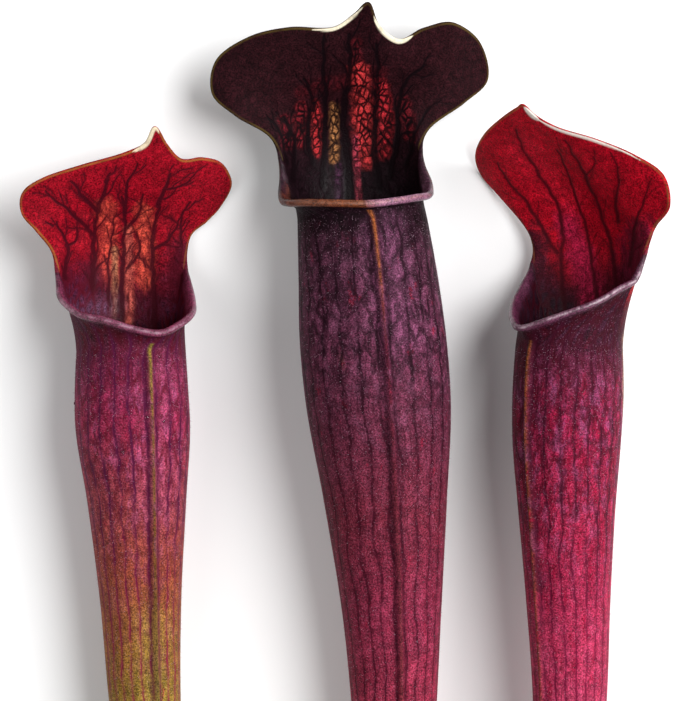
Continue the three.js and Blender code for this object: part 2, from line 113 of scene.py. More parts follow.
class Curve:
    """A smooth curve through rows of (key, *values), which a closed one repeats every 360."""

    def __init__(self, rows: Sequence[Sequence[float]], closed: bool = False) -> None:
        """Works out the tangents at the rows.

        Args:
            rows: the key of each point and its values.
            closed: whether the keys are angles that come round again.
        """
        table = np.array(sorted(rows), float)
        if closed:
            turn = np.zeros(table.shape[1])
            turn[0] = 360
            table = np.vstack([table[-2:] - turn, table, table[:2] + turn])
        slopes = (table[1:, 1:] - table[:-1, 1:]) / np.diff(table[:, 0])[:, None]
        tangents = np.empty_like(table[:, 1:])
        tangents[0], tangents[-1] = slopes[0], slopes[-1]
        spans = np.diff(table[:, 0])[:, None]
        tangents[1:-1] = (slopes[:-1] * spans[1:] + slopes[1:] * spans[:-1]) / (spans[:-1] + spans[1:])
        self.keys, self.values, self.tangents = table[:, 0], table[:, 1:], tangents

    def at(self, keys: Array | float) -> Array:
        """The values at some keys.

        Args:
            keys: the keys.

        Returns:
            The values, in a last axis of their own.
        """
        keys = np.asarray(keys, float)
        i = np.clip(np.searchsorted(self.keys, keys, side="right") - 1, 0, len(self.keys) - 2)
        span = (self.keys[i + 1] - self.keys[i])[..., None]
        t = (keys[..., None] - self.keys[i][..., None]) / span
        return (
            (2 * t**3 - 3 * t**2 + 1) * self.values[i]
            + (t**3 - 2 * t**2 + t) * span * self.tangents[i]
            + (3 * t**2 - 2 * t**3) * self.values[i + 1]
            + (t**3 - t**2) * span * self.tangents[i + 1]
        )


@dataclass(frozen=True)
class LeafSizes:
    """One leaf: its turn, its lip's place and roll, its tube's stations and its outline, in millimetres."""

    node: str
    slot: str
    turn: float
    lip: tuple[float, float, float]
    roll: float
    tube: tuple[tuple[float, ...], ...]
    outline: tuple[tuple[float, ...], ...]


LEFT = LeafSizes(
    "pitcher_left", "left_leaf", 21, (-62.5, 5.6, 16.6), 1.05,
    (
        (-330, -23, 9, 6.2), (-320, -23.4, 9.1, 5.4), (-300, -26, 9.6, 4.8), (-250, -35, 11, 5.6),
        (-200, -45.5, 12.6, 6.9), (-150, -54, 14, 8.5), (-100, -58.8, 15.2, 10.3), (-71, -60, 15.8, 11.7),
        (-43, -61.1, 16.2, 14.2), (-20, -62.3, 16.3, 16.5), (-10, -62.6, 16.4, 16.2), (6, -62.7, 16.6, 15.3),
    ),
    (
        (0, 2.5, 57.5, 13.5), (6, 7.4, 53, 9), (14, 12.6, 49, 5.5), (26, 20, 49.2, 5), (38, 27, 47.5, 2),
        (48, 31, 42.5, -2), (60, 28.8, 36, -5), (72, 25, 32, -5.5), (86, 20.2, 27, -7.5), (98, 17.6, 18, -5),
        (107, 16.8, 15, -3), (115, 16.3, 11.8, -0.5), (123, 15.8, 9.2, 2.5), (133, 14.9, 6.6, 6),
        (150, 12, 4, 11.5),
        (165, 7.4, 1.6, 15.5), (180, 1.6, -0.5, 18),
        (-165, -5.4, 0.6, 16.5), (-150, -12, 3, 13), (-133, -17.2, 4.8, 7), (-123, -18.9, 7.4, 2),
        (-115, -19.6, 9.7, -1.5), (-107, -19.7, 12.8, -3.5), (-98, -20.2, 17, -5), (-86, -21.5, 23, -7),
        (-72, -26.7, 28.3, -4), (-60, -31, 33.5, -5.5), (-48, -31, 39.5, -4), (-38, -26.6, 43, -0.5),
        (-26, -17, 46.5, 4), (-14, -3.8, 50.5, 7.5), (-6, 1, 53.3, 10),
    ),
)

MIDDLE = LeafSizes(
    "pitcher_middle", "middle_leaf", 9, (2.7, 43.4, 19.6), 1.1,
    (
        (-330, 8, 9, 6.6), (-320, 8, 9.1, 5.8), (-300, 8.2, 9.7, 5.2), (-250, 9.4, 11.4, 6),
        (-200, 11, 13.4, 7.6), (-150, 12.3, 15.4, 9.6), (-100, 12.6, 17.3, 12.3), (-77, 12, 18.2, 14),
        (-43, 10.1, 19.6, 17.6), (-14, 8, 20.5, 20.8), (3, 6.6, 20.7, 21), (20, 5.3, 20.4, 20),
        (41, 3.2, 19.9, 18.3),
    ),
    (
        (0, 1.1, 55, 9.5), (6, 4.3, 49.5, 5.5), (14, 10.5, 45.2, 1.5), (26, 18.5, 48.4, 2),
        (38, 27.2, 49.9, 2),
        (48, 35.2, 45.4, -3.5), (60, 38.8, 35, -8.5), (72, 32, 28.3, -7.5), (86, 21.6, 20.8, -7.5),
        (98, 17.9, 14.2, -4.5),
        (107, 17.6, 9.3, -2.5), (115, 18.4, 4.9, 0), (123, 18.3, 2.5, 3), (133, 17.4, 0.9, 7),
        (150, 12.6, -0.3, 13.5),
        (165, 6.5, -1.3, 17.5), (180, -0.8, -1.9, 20),
        (-165, -9.6, -1.6, 18), (-150, -16, -1.3, 14), (-133, -20.2, -1.1, 7), (-123, -21, -0.3, 2.5),
        (-115, -20.8, 2.1, -1), (-107, -20.7, 5.3, -3.5), (-98, -21.4, 11.1, -5.5), (-86, -24.5, 18, -8),
        (-72, -34.9, 24.1, -6), (-60, -41.2, 30.4, -8.5), (-48, -39.7, 40.1, -7), (-38, -31.7, 45.6, -2.5),
        (-26, -20.5, 48.2, 2), (-14, -7.5, 48.4, 4), (-6, -2.2, 52.2, 6.5),
    ),
)

RIGHT = LeafSizes(
    "pitcher_right", "right_leaf", -47, (62.1, 7, 22.7), 0.95,
    (
        (-330, 38, 9, 6.2), (-320, 38.2, 9.2, 5.4), (-300, 39.8, 9.9, 4.8), (-250, 46.5, 11.8, 5.6),
        (-200, 54, 13.8, 7), (-150, 60, 15.8, 8.7), (-100, 62.9, 17.8, 10.6), (-71, 62.4, 19, 12.1),
        (-43, 61.9, 20.1, 14.1), (-26, 61.9, 20.8, 15.5), (-14, 62.2, 21.6, 15.9), (6, 62.6, 22.7, 15.1),
    ),
    (
        (0, -3.7, 62.3, 14.5), (6, -0.8, 59.2, 12.5), (14, 4.2, 56, 9.5), (26, 16, 52.2, 5),
        (38, 26.3, 47.6, 0),
        (48, 32.8, 42.6, -4), (60, 33.2, 33.9, -6.5), (72, 25.9, 28.6, -9), (86, 23.8, 24.5, -8.6),
        (98, 22.2, 20.5, -7.9),
        (107, 21.2, 17, -6.8), (115, 20.6, 14.6, -6), (123, 20, 12.5, -4.8), (133, 19.1, 10.5, -0.7),
        (150, 16.6, 6.3, 7),
        (165, 9.8, 2.5, 14.5), (180, 1.4, -0.4, 18.5),
        (-165, -4, 1.4, 16), (-150, -9, 4, 11.5), (-133, -13.6, 7.5, 5.5), (-123, -15, 10.1, 2),
        (-115, -15.9, 12.4, -0.5), (-107, -17, 15.3, -3), (-98, -17.8, 18.5, -4), (-86, -18.7, 23.6, -4.5),
        (-72, -21.4, 29.1, -3.5), (-60, -27.9, 36.7, -1), (-48, -32.5, 43.9, 3), (-38, -31, 49, 6.5),
        (-26, -23.7, 54.8, 10), (-14, -12.6, 59.8, 12.5), (-6, -6.6, 61.6, 14),
    ),
)


class LeafForm:
    """The inner skin of one leaf: tube, throat, rim and lid, by the angle round it in degrees."""

    def __init__(self, sizes: LeafSizes) -> None:
        """Reads the leaf's sizes.

        Args:
            sizes: the leaf's tables.
        """
        self.sizes = sizes
        self.station = Curve(sizes.tube).at
        self.edge = Curve(sizes.outline, closed=True).at
        self.throat_y = sizes.lip[1] - THROAT_DROP
        self.cos, self.sin = math.cos(math.radians(sizes.turn)), math.sin(math.radians(sizes.turn))

    def turned(self, local: Array) -> Array:
        """A direction in the leaf's face-on frame (across, up, forward), in the plant's."""
        x, y, z = np.moveaxis(np.asarray(local, float), -1, 0)
        return np.stack([x * self.cos + z * self.sin, y, z * self.cos - x * self.sin], -1)

    def place(self, local: Array) -> Array:
        """A point in the leaf's face-on frame, in the plant's."""
        return self.turned(local) + np.array(self.sizes.lip)

    def face_on(self, points: Array) -> Array:
        """A point in the plant's frame, in the leaf's face-on frame."""
        x, y, z = np.moveaxis(points - np.array(self.sizes.lip), -1, 0)
        return np.stack([x * self.cos - z * self.sin, y, z * self.cos + x * self.sin], -1)

    def tube(self, angle: Array, y: Array, outset: Array | float = 0.0) -> Array:
        """Points of the tube.

        Args:
            angle: degrees from the middle of the back.
            y: heights.
            outset: how far outside the inner skin.

        Returns:
            The points.
        """
        angle, y = np.broadcast_arrays(np.asarray(angle, float), np.asarray(y, float))
        x, z, radius = np.moveaxis(self.station(y), -1, 0)
        r = radius - WALL + outset
        a = np.radians(angle)
        return self.turned(np.stack([r * np.sin(a), y, -r * np.cos(a)], -1)) + np.stack([x, y * 0, z], -1)

    @staticmethod
    def rim_key(angle: Array) -> Array:
        """The outline's key at an angle of the rim."""
        return np.sign(angle) * lerp(NECK_KEY, 180.0, (np.abs(angle) - NECK_TURN) / (180 - NECK_TURN))

    def rim_point(self, angle: Array) -> Array:
        """The loop at the top of the tube: the rim in front and the hollow of the neck behind.

        Args:
            angle: angles round the leaf.

        Returns:
            The points.
        """
        rim = self.edge(self.rim_key(angle))
        left, right = self.edge(-NECK_KEY), self.edge(NECK_KEY)
        share = 0.5 + 0.5 * np.sin(np.radians(angle)) / math.sin(math.radians(NECK_TURN))
        depth = np.clip(1 - (angle / NECK_TURN) ** 2, 0, 1) ** 1.5
        radius = self.station(self.throat_y)[2]
        back = lerp(left, right, share[..., None])
        back[..., 2] = lerp(back[..., 2], -(radius - WALL), depth)
        return self.place(np.where((np.abs(angle) >= NECK_TURN)[..., None], rim, back))

    def rim_direction(self, angle: Array) -> Array:
        """Which way the skin runs where it reaches the rim.

        Args:
            angle: angles round the leaf.

        Returns:
            The directions.
        """
        flare = 1.4 * smoothstep(np.abs(angle), NECK_TURN - 10, NECK_TURN + 24)
        a = np.radians(angle)
        return unit(self.turned(np.stack([np.sin(a) * flare, np.ones_like(a), -np.cos(a) * flare], -1)))

    @staticmethod
    def sweep(
        start: Array, leave: Array, end: Array, arrive: Array, t: Array, pull: float = math.inf,
    ) -> Array:
        """A cubic from one point to another, leaving along one direction and arriving along the other.

        Args:
            start: where it starts.
            leave: the direction there.
            end: where it ends.
            arrive: the direction there.
            t: the share of the way.
            pull: the longest reach of the last direction.

        Returns:
            The points.
        """
        t = np.asarray(t, float)[..., None]
        reach = np.linalg.norm(end - start, axis=-1, keepdims=True)
        return (
            (2 * t**3 - 3 * t**2 + 1) * start
            + (t**3 - 2 * t**2 + t) * reach * leave
            + (3 * t**2 - 2 * t**3) * end
            + (t**3 - t**2) * np.minimum(reach, pull) * arrive
        )

    def throat(self, angle: Array, share: Array) -> Array:
        """The skin between the tube and the rim.

        Args:
            angle: angles round the leaf.
            share: how far up, 0 at the tube and 1 at the rim.

        Returns:
            The points.
        """
        start = self.tube(angle, self.throat_y)
        up = unit(start - self.tube(angle, self.throat_y - 2))
        return self.sweep(start, up, self.rim_point(angle), self.rim_direction(angle), share, RIM_PULL)

    def blunt_top(self, key: Array) -> Array:
        """The top margin without the small point at its middle.

        Args:
            key: keys on the outline.

        Returns:
            The points, in the leaf's face-on frame.
        """
        top = self.edge(key)
        left, right = self.edge(-POINT_KEY), self.edge(POINT_KEY)
        across = np.clip((key + POINT_KEY) / (2 * POINT_KEY), 0, 1)[..., None]
        blunt = np.clip(1 - (key / POINT_KEY) ** 4, 0, 1)[..., None]
        return lerp(top, lerp(left, right, across), blunt)

    def lid_line(self, angle: Array, share: Array) -> Array:
        """A line of the lid, from the neck to the top margin.

        Args:
            angle: angles round the leaf.
            share: how far up, 0 at the neck and 1 at the margin.

        Returns:
            The points.
        """
        key = LID_TIP_KEY * angle / NECK_TURN
        top, neck = self.blunt_top(key), self.edge(NECK_KEY)
        lean = top[..., 2] + 14 - 0.4 * np.abs(top[..., 0])
        away = unit(self.turned(np.stack([top[..., 0] * 0.8, top[..., 1] - neck[1], lean], -1)))
        blunt = self.place(top)
        point = self.sweep(self.rim_point(angle), self.rim_direction(angle), blunt, away, share)
        return point + (self.place(self.edge(key)) - blunt) * (np.asarray(share, float) ** 5)[..., None]

    def lid(self, angle: Array, share: Array) -> Array:
        """The lid, whose outermost lines follow its margin.

        Args:
            angle: angles round the leaf.
            share: how far up, 0 at the neck and 1 at the margin.

        Returns:
            The points.
        """
        angle, share = np.broadcast_arrays(np.asarray(angle, float), np.asarray(share, float))
        side = np.where(angle < 0, -1.0, 1.0)
        margin = self.place(self.edge(side * lerp(NECK_KEY, LID_TIP_KEY, share)))
        pull = ((np.abs(angle) / NECK_TURN) ** 2)[..., None]
        return self.lid_line(angle, share) + (margin - self.lid_line(side * NECK_TURN, share)) * pull

    @staticmethod
    def lip_share(key: Array) -> Array:
        """0 along the lid and 1 along the lip."""
        return smoothstep(np.abs(key), NECK_KEY - 12, LIP_KEY)

    def keel(self, angle: Array, y: Array) -> Array:
        """How far the front wing stands out.

        Args:
            angle: angles round the leaf.
            y: heights.

        Returns:
            The distances.
        """
        radius = self.station(np.minimum(y, self.throat_y))[..., 2]
        across = np.radians(180 - np.abs(angle)) * radius
        fade = smoothstep(y, FOOT_Y, FOOT_Y + 60) * smoothstep(self.sizes.lip[1] - y, 3, 9)
        return KEEL_HEIGHT * fade * np.exp(-((across / KEEL_HALF_WIDTH) ** 2))


class Part(Enum):
    """Which surface of a leaf a patch of colour lies on."""

    LID = "lid"
    TUBE = "tube"
    LIP = "lip"


@dataclass(frozen=True)
class Patch:
    """A soft patch of colour round a line of points, in millimetres in the plant's frame."""

    colour: str
    path: tuple[tuple[float, float], ...]
    reach: float
    strength: float = 1.0
    part: Part = Part.LID
    soft: float = 0.75

    def share(self, points: Array, fray: Array) -> Array:
        """How far each point belongs to the patch.

        Args:
            points: the points.
            fray: how far the patch's edge strays at each, as a share of its reach.

        Returns:
            Shares between 0 and the patch's strength.
        """
        knots = np.array(self.path, float)
        ends = zip(knots[:-1], knots[1:]) if len(knots) > 1 else [(knots[0], knots[0])]
        distance = np.full(len(points), 1e9)
        for a, b in ends:
            span = b - a
            t = np.clip((points[:, :2] - a) @ span / max(span @ span, 1e-9), 0, 1)
            distance = np.minimum(distance, np.linalg.norm(points[:, :2] - (a + t[:, None] * span), axis=1))
        return self.strength * (1 - smoothstep(distance / self.reach + fray, 1 - self.soft, 1 + self.soft))


@dataclass(frozen=True)
class Vein:
    """A drawn vein: its half width at the foot and its path, in millimetres in the plant's frame."""

    half_width: float
    path: tuple[tuple[float, float], ...]


@dataclass(frozen=True)
class LeafFinish:
    """Living leaf of a trumpet pitcher: thin, waxy skin, grown in place, whose veins show dark through it.

    A waxy bloom gives the tube a dusty, soft sheen, and the wet lip and throat have a sharp one. The colours
    are sRGB hex values, and each ramp goes by the height in millimetres.
    """

    name: str
    seed: int
    tube: tuple[tuple[float, str], ...]
    bare: str
    bloom: str
    bare_share: float
    bare_from: float
    lid: str
    back: str
    throat: str
    hollow: str
    lip: str
    # The colour of the painted highlight along the lip's crest
    lip_glint_and_keel_ridge: str
    keel: tuple[tuple[float, str], ...]
    vein: str
    tube_vein: str
    low_vein: str
    net: str
    margin: str
    pale: str
    patches: tuple[Patch, ...]
    veins: tuple[Vein, ...]
    pale_spans: tuple[tuple[float, float, float], ...]
    branch_gap: float = 3.2
    lid_net: float = 0.95
    tube_net: float = 0.75
    throat_top: tuple[float, float] = (11.0, 34.0)
    # How strong the tube's veins and the painted shade beside them are
    vein_stripe_and_lane_shade: float = 0.7
    margin_share: float = 0.7
    hairs: int = 2600
    hair_colour: str = "C8A8B8"
    drops: tuple[tuple[float, float, float], ...] = ()
    lid_cells: tuple[float, float] = (52.0, 18.0)
    # The strongest share of the lip's painted highlight
    lip_glint_share: float = 0.45
    vein_softness: float = 0.8


class Venation:
    """The veins of a lid: the drawn ones, with the branches and twigs that grow from them by rule."""

    STEP = 0.3
    SWAY = 0.7
    WANDER = 0.13
    BEND_BACK = 0.045
    LEAST_BRANCH = 0.2
    LEAST_SEEN = 0.22
    STRENGTHS = (1.0, 0.82, 0.6)
    HALO, HALO_REACH = 0.45, 3.2

    def __init__(self, finish: LeafFinish) -> None:
        """Grows all the veins.

        Args:
            finish: the leaf's drawn veins and its seed.
        """
        self.rng = np.random.default_rng(finish.seed)
        self.gap = finish.branch_gap
        self.levels: list[list[Array]] = [[], [], []]
        for vein in finish.veins:
            self.trace(vein)

    def trace(self, vein: Vein) -> None:
        """Follows one drawn vein and lets branches grow from it.

        Args:
            vein: the vein.
        """
        knots = np.array(vein.path, float)
        keys = np.concatenate([[0], np.cumsum(np.linalg.norm(np.diff(knots, axis=0), axis=1))])
        t = np.arange(0, keys[-1], self.STEP)
        line = Curve([(k, *p) for k, p in zip(keys, knots)]).at(t)
        key = vein.half_width * 7 + vein.path[0][0] * 0.37
        sway = [noise.noise(Vector((x * 0.35, y * 0.35, key))) for x, y in line]
        line[:, 0] += np.array(sway) * self.SWAY
        width = vein.half_width * lerp(1.0, 0.4, t / keys[-1])
        self.levels[0].append(np.column_stack([line, width]))
        self.sprout(line, width, 1)

    def sprout(self, line: Array, width: Array, level: int) -> None:
        """Grows side branches from a vein.

        Args:
            line: the vein's points.
            width: its half widths.
            level: 1 for branches, 2 for twigs.
        """
        at = self.rng.uniform(0.5, 1.0) * self.gap / level
        side = self.rng.choice([-1, 1])
        while at < (len(line) - 3) * self.STEP:
            i = int(at / self.STEP)
            ahead = line[i + 2] - line[i]
            lead = math.atan2(ahead[1], ahead[0])
            heading = lead + side * math.radians(self.rng.uniform(24, 48))
            length = self.rng.uniform(3.0, 8.5) / level
            self.branch(line[i], heading, width[i] * 0.6, length, lead, level)
            at += self.rng.uniform(0.6, 1.4) * self.gap / level
            side = -side

    def branch(
        self, start: Array, heading: float, width: float, length: float, lead: float, level: int,
    ) -> None:
        """Grows one branch, which bends back towards the vein's own direction.

        Args:
            start: where it leaves.
            heading: its direction there.
            width: its half width there.
            length: how long it is.
            lead: the direction it bends towards.
            level: 1 for a branch, 2 for a twig.
        """
        width = max(width, self.LEAST_BRANCH)
        points = [start]
        for _ in range(int(length / self.STEP)):
            heading += self.BEND_BACK * (lead - heading) + self.rng.normal(0, self.WANDER)
            points.append(points[-1] + self.STEP * np.array([math.cos(heading), math.sin(heading)]))
        line = np.array(points)
        widths = width * np.linspace(1.0, 0.55, len(line))
        self.levels[level].append(np.column_stack([line, widths]))
        if level < 2:
            self.sprout(line, widths, 2)

    def darkness(self, points: Array) -> Array:
        """How dark the veins make each point, seen face on.

        Args:
            points: the points.

        Returns:
            Values between 0 and 1.
        """
        result = np.zeros(len(points))
        for level, strength in zip(self.levels, self.STRENGTHS):
            if not level:
                continue
            knots = np.vstack(level)
            tree = KDTree(len(knots))
            for i, (x, y, _) in enumerate(knots):
                tree.insert((x, y, 0), i)
            tree.balance()
            found = [tree.find((x, y, 0))[1:] for x, y in points[:, :2]]
            index = np.array([f[0] for f in found])
            distance = np.array([f[1] for f in found])
            width = np.maximum(knots[index, 2], self.LEAST_SEEN)
            core = np.exp(-0.65 * (distance / width) ** 2)
            halo = self.HALO * np.exp(-((distance / width / self.HALO_REACH) ** 2))
            result = np.maximum(result, strength * np.maximum(core, halo))
        return result


@dataclass
class Sheet:
    """Both skins of a leaf from the throat up, and the point numbers of throat and lid in rows."""

    inner: Array
    outer: Array
    normals: Array
    angle: Array
    along: Array
    throat: Array
    lid: Array


def relaxed(points: Array, grids: Sequence[Array], weight: Array, passes: int) -> Array:
    """Evens out points that lie in grids.

    Args:
        points: the points, or vectors at them.
        grids: arrays of point numbers, with -1 where there is none.
        weight: how freely each may move, 0 to 1.
        passes: how many times.

    Returns:
        The evened points.
    """
    pairs = []
    for grid in grids:
        for a, b in ((grid[:, :-1], grid[:, 1:]), (grid[:-1], grid[1:])):
            both = (a >= 0) & (b >= 0)
            pairs.append(np.stack([a[both], b[both]], -1))
    edges = np.vstack(pairs)
    edges = np.vstack([edges, edges[:, ::-1]])
    count = np.maximum(np.bincount(edges[:, 0], minlength=len(points)), 1)[:, None]
    points = points.copy()
    for _ in range(passes):
        sums = [np.bincount(edges[:, 0], points[edges[:, 1], k], len(points)) for k in range(3)]
        total = np.stack(sums, -1)
        points += (total / count - points) * (weight * 0.6)[:, None]
    return points


def grid_normals(points: Array, grids: Sequence[Array]) -> Array:
    """The normals of a sheet of quads, on the side where its columns run clockwise.

    Args:
        points: the points.
        grids: arrays of point numbers, with -1 where there is none.

    Returns:
        A unit normal for each point.
    """
    normals = np.zeros_like(points)
    for grid in grids:
        a, b, c, d = grid[:-1, :-1], grid[:-1, 1:], grid[1:, 1:], grid[1:, :-1]
        ok = (a >= 0) & (b >= 0) & (c >= 0) & (d >= 0)
        a, b, c, d = a[ok], b[ok], c[ok], d[ok]
        face = np.cross(points[d] - points[b], points[c] - points[a])
        for corner in (a, b, c, d):
            np.add.at(normals, corner, face)
    return unit(normals)


class MeshMaker:
    """Gathers points, faces and attributes and makes one object of them."""

    def __init__(self) -> None:
        """Starts empty."""
        self.points: list[Array] = []
        self.quads: list[Array] = []
        self.triangles: list[Array] = []
        self.values: dict[str, list[Array]] = {}
        self.count = 0

    def add(self, points: Array, **values: Array | float) -> Array:
        """Adds points.

        Args:
            points: their places in millimetres in the plant's frame.
            values: attributes, one number a point or one for all.

        Returns:
            Their numbers, in the shape of the points.
        """
        shape = points.shape[:-1]
        flat = points.reshape(-1, 3)
        numbers = np.arange(self.count, self.count + len(flat)).reshape(shape)
        self.points.append(flat)
        for name, value in values.items():
            self.values.setdefault(name, []).append(np.broadcast_to(value, shape).reshape(-1).astype(float))
        self.count += len(flat)
        return numbers

    def scatter(self, shape: Array, faces: Array, places: Sequence[Array], axes: Sequence[Array]) -> None:
        """Adds a copy of a shape at each place.

        Args:
            shape: the shape's points.
            faces: its triangles.
            places: where the copies go.
            axes: the three axes of each, as long as the copy is large.
        """
        for place, turned in zip(places, axes):
            self.triangles.append(self.add(place + shape @ turned)[faces])

    def make(self, name: str) -> bpy.types.Object:
        """Makes the object, its place in its mesh and in metres.

        Args:
            name: the piece's name.

        Returns:
            The object.
        """
        points = np.vstack(self.points)
        quads = np.vstack(self.quads) if self.quads else np.zeros((0, 4), int)
        triangles = np.vstack(self.triangles) if self.triangles else np.zeros((0, 3), int)
        mesh = bpy.data.meshes.new(name)
        points[:, 2] = np.maximum(points[:, 2], 0.0)
        mesh.from_pydata(((points - ORIGIN) / 1000).tolist(), [], quads.tolist() + triangles.tolist())
        mesh.update()
        for key, parts in self.values.items():
            layer = mesh.attributes.new(key, "FLOAT", "POINT")
            layer.data.foreach_set("value", np.concatenate(parts).astype(np.float32))
        mesh.shade_smooth()
        piece = bpy.data.objects.new(name, mesh)
        bpy.context.scene.collection.objects.link(piece)
        return piece


@dataclass
class PitcherLeaf:
    """One leaf: tube, keel, rolled lip, neck and lid in one closed skin."""

    sizes: LeafSizes
    finish: LeafFinish
    lid_columns: int = 224
    rim_columns: int = 62
    keel_columns: int = 10
    low_rows: int = 18
    low_top: float = -115.0
    row_step: float = 3.4
    hollow_rows: int = 14
    throat_rows: int = 12
    lid_rows: int = 108
    roll_steps: int = 9
    skin_passes: int = 60
    normal_passes: int = 24
    outer_passes: int = 12
    edge_passes: int = 90
    tangent_passes: int = 6
    edge_limit: float = 12.0
    outline_steps: int = 900
    span_steps: int = 160
    down_reach: float = 150.0
    form: LeafForm = field(init=False)
    columns: Array = field(init=False)
    on_lid: Array = field(init=False)

    def __post_init__(self) -> None:
        """Makes the leaf's form and the angles of its columns, once round from the front."""
        self.form = LeafForm(self.sizes)
        lid = np.linspace(-NECK_TURN, NECK_TURN, self.lid_columns + 1)
        rim = np.linspace(NECK_TURN, KEEL_TURN, self.rim_columns + 1)[1:]
        keel = np.linspace(KEEL_TURN, 180, self.keel_columns + 1)[1:-1]
        side = np.concatenate([rim, keel])
        self.columns = np.concatenate([-side[::-1], lid, side, [180.0]])
        self.on_lid = np.abs(self.columns) <= NECK_TURN + 1e-9

    def build(self) -> bpy.types.Object:
        """Builds the leaf.

        Returns:
            The leaf's object, with its attributes, its UV map and its material.
        """
        maker, sheet = MeshMaker(), self.sheet()
        loop, keys = self.margin(sheet)
        ring = self.rolled_edge(maker, sheet, loop, keys)
        self.skin(maker, sheet, loop, ring[:, 0], True)
        self.skin(maker, sheet, loop, ring[:, -1], False)
        piece = maker.make(self.sizes.node + "_leaf")
        self.dress(piece)
        return piece

    def throat_shares(self) -> Array:
        """How far up the throat each of its rows lies."""
        return np.linspace(0, 1, self.throat_rows + 1)[:, None]

    def sheet(self) -> Sheet:
        """Builds both skins from the throat up, with the creases beside the neck evened out.

        Returns:
            The skins.
        """
        form, columns, n = self.form, self.columns, len(self.columns)
        lid_columns = columns[self.on_lid]
        throat = form.throat(*np.broadcast_arrays(columns[None], self.throat_shares()))
        lid = form.lid(lid_columns[None], np.linspace(0, 1, self.lid_rows + 1)[1:, None])
        throat_ids = np.arange(throat.shape[0] * n).reshape(-1, n)
        lid_ids = throat_ids.size + np.arange(lid.size // 3).reshape(lid.shape[:2])
        grids = [self.closed(throat_ids), np.vstack([throat_ids[-1:, self.on_lid], lid_ids])]
        inner = np.vstack([throat.reshape(-1, 3), lid.reshape(-1, 3)])

        fixed = np.zeros(len(inner), bool)
        fixed[throat_ids[0]] = True
        fixed[throat_ids[-1][np.abs(columns) >= NECK_TURN - 1e-9]] = True
        fixed[lid_ids[-1]] = fixed[lid_ids[:, 0]] = fixed[lid_ids[:, -1]] = True
        necks = [form.place(form.edge(key)) for key in (NECK_KEY, -NECK_KEY)]
        near = np.min([np.linalg.norm(inner - p, axis=1) for p in necks], axis=0)
        free = ~fixed * np.maximum(1 - smoothstep(near, 8, 17), 0.12)
        inner = relaxed(inner, grids, free, self.skin_passes)

        softness = np.maximum(1 - smoothstep(near, 6, 16), 0.1)
        normals = unit(relaxed(grid_normals(inner, grids), grids, softness, self.normal_passes))
        radial = unit(form.tube(columns, form.throat_y, 1.0) - form.tube(columns, form.throat_y))
        blend = smoothstep(self.throat_shares(), 0.0, 0.35)[..., None]
        normals[throat_ids] = unit(lerp(radial[None], normals[throat_ids], blend))
        outset = np.full(len(inner), WALL)
        outset[throat_ids] += form.keel(columns[None], inner[throat_ids][..., 1])
        outer = inner + normals * outset[:, None]
        outer = relaxed(outer, grids, free * (1 - smoothstep(near, 5, 10)), self.outer_passes)
        angle = [np.broadcast_to(columns, throat_ids.shape), np.broadcast_to(lid_columns, lid_ids.shape)]
        angle = np.concatenate([part.ravel() for part in angle])
        return Sheet(inner, outer, normals, angle, self.along(throat, lid), throat_ids, lid_ids)

    def margin(self, sheet: Sheet) -> tuple[Array, Array]:
        """The edge of the skins, once round: rim, right side of the lid, top, left side and rim.

        Args:
            sheet: the skins.

        Returns:
            The points' numbers and their keys on the outline.
        """
        columns, lid, last = self.columns, sheet.lid, sheet.throat[-1]
        rim = np.where(~self.on_lid)[0]
        right, left = rim[columns[rim] > 0][::-1], rim[columns[rim] < 0][::-1]
        neck = last[self.on_lid]
        loop = [last[right], neck[-1:], lid[:, -1], lid[-1, 1:-1][::-1], lid[::-1, 0], neck[:1], last[left]]
        side_key = lerp(NECK_KEY, LID_TIP_KEY, np.linspace(0, 1, self.lid_rows + 1))
        top_key = (LID_TIP_KEY * columns[self.on_lid][1:-1] / NECK_TURN)[::-1]
        rim_keys = self.form.rim_key(columns[right]), self.form.rim_key(columns[left])
        keys = [rim_keys[0], side_key, top_key, -side_key[::-1], rim_keys[1]]
        return np.concatenate(loop), np.concatenate(keys)

    def rolled_edge(self, maker: MeshMaker, sheet: Sheet, loop: Array, keys: Array) -> Array:
        """Adds the edge, which is a thin round on the lid and a roll on the lip.

        Args:
            maker: what gathers the mesh.
            sheet: the skins.
            loop: the numbers of the edge's points in the sheet.
            keys: their keys on the outline.

        Returns:
            The new points' numbers, in rows from the inner skin to the outer.
        """
        base, normal = sheet.inner[loop], sheet.normals[loop]
        tangent = np.roll(base, -1, 0) - np.roll(base, 1, 0)
        for _ in range(self.edge_passes):
            normal = unit(np.roll(normal, 1, 0) + np.roll(normal, -1, 0) + 2 * normal)
        for _ in range(self.tangent_passes):
            tangent = unit(np.roll(tangent, 1, 0) + np.roll(tangent, -1, 0) + 2 * tangent)
        outward = unit(np.cross(normal, tangent))
        lip = self.form.lip_share(keys)[:, None]
        radius = lerp(LID_EDGE, self.sizes.roll, lip)
        centre = base + outward * radius * lip + normal * radius
        end = -np.arccos(np.clip(WALL / radius - 1, -1, 1))
        steps = np.linspace(0, 1, self.roll_steps + 1)[None]
        turn = lerp(math.pi, end, steps)[..., None]
        spoke = np.cos(turn) * normal[:, None] + np.sin(turn) * outward[:, None]
        ids = maker.add(
            centre[:, None] + radius[:, None] * spoke,
            angle=sheet.angle[loop][:, None], along=sheet.along[loop][:, None], skin=steps, lip=lip,
        )
        maker.quads.append(self.quads(np.vstack([ids, ids[:1]]), True))
        return ids

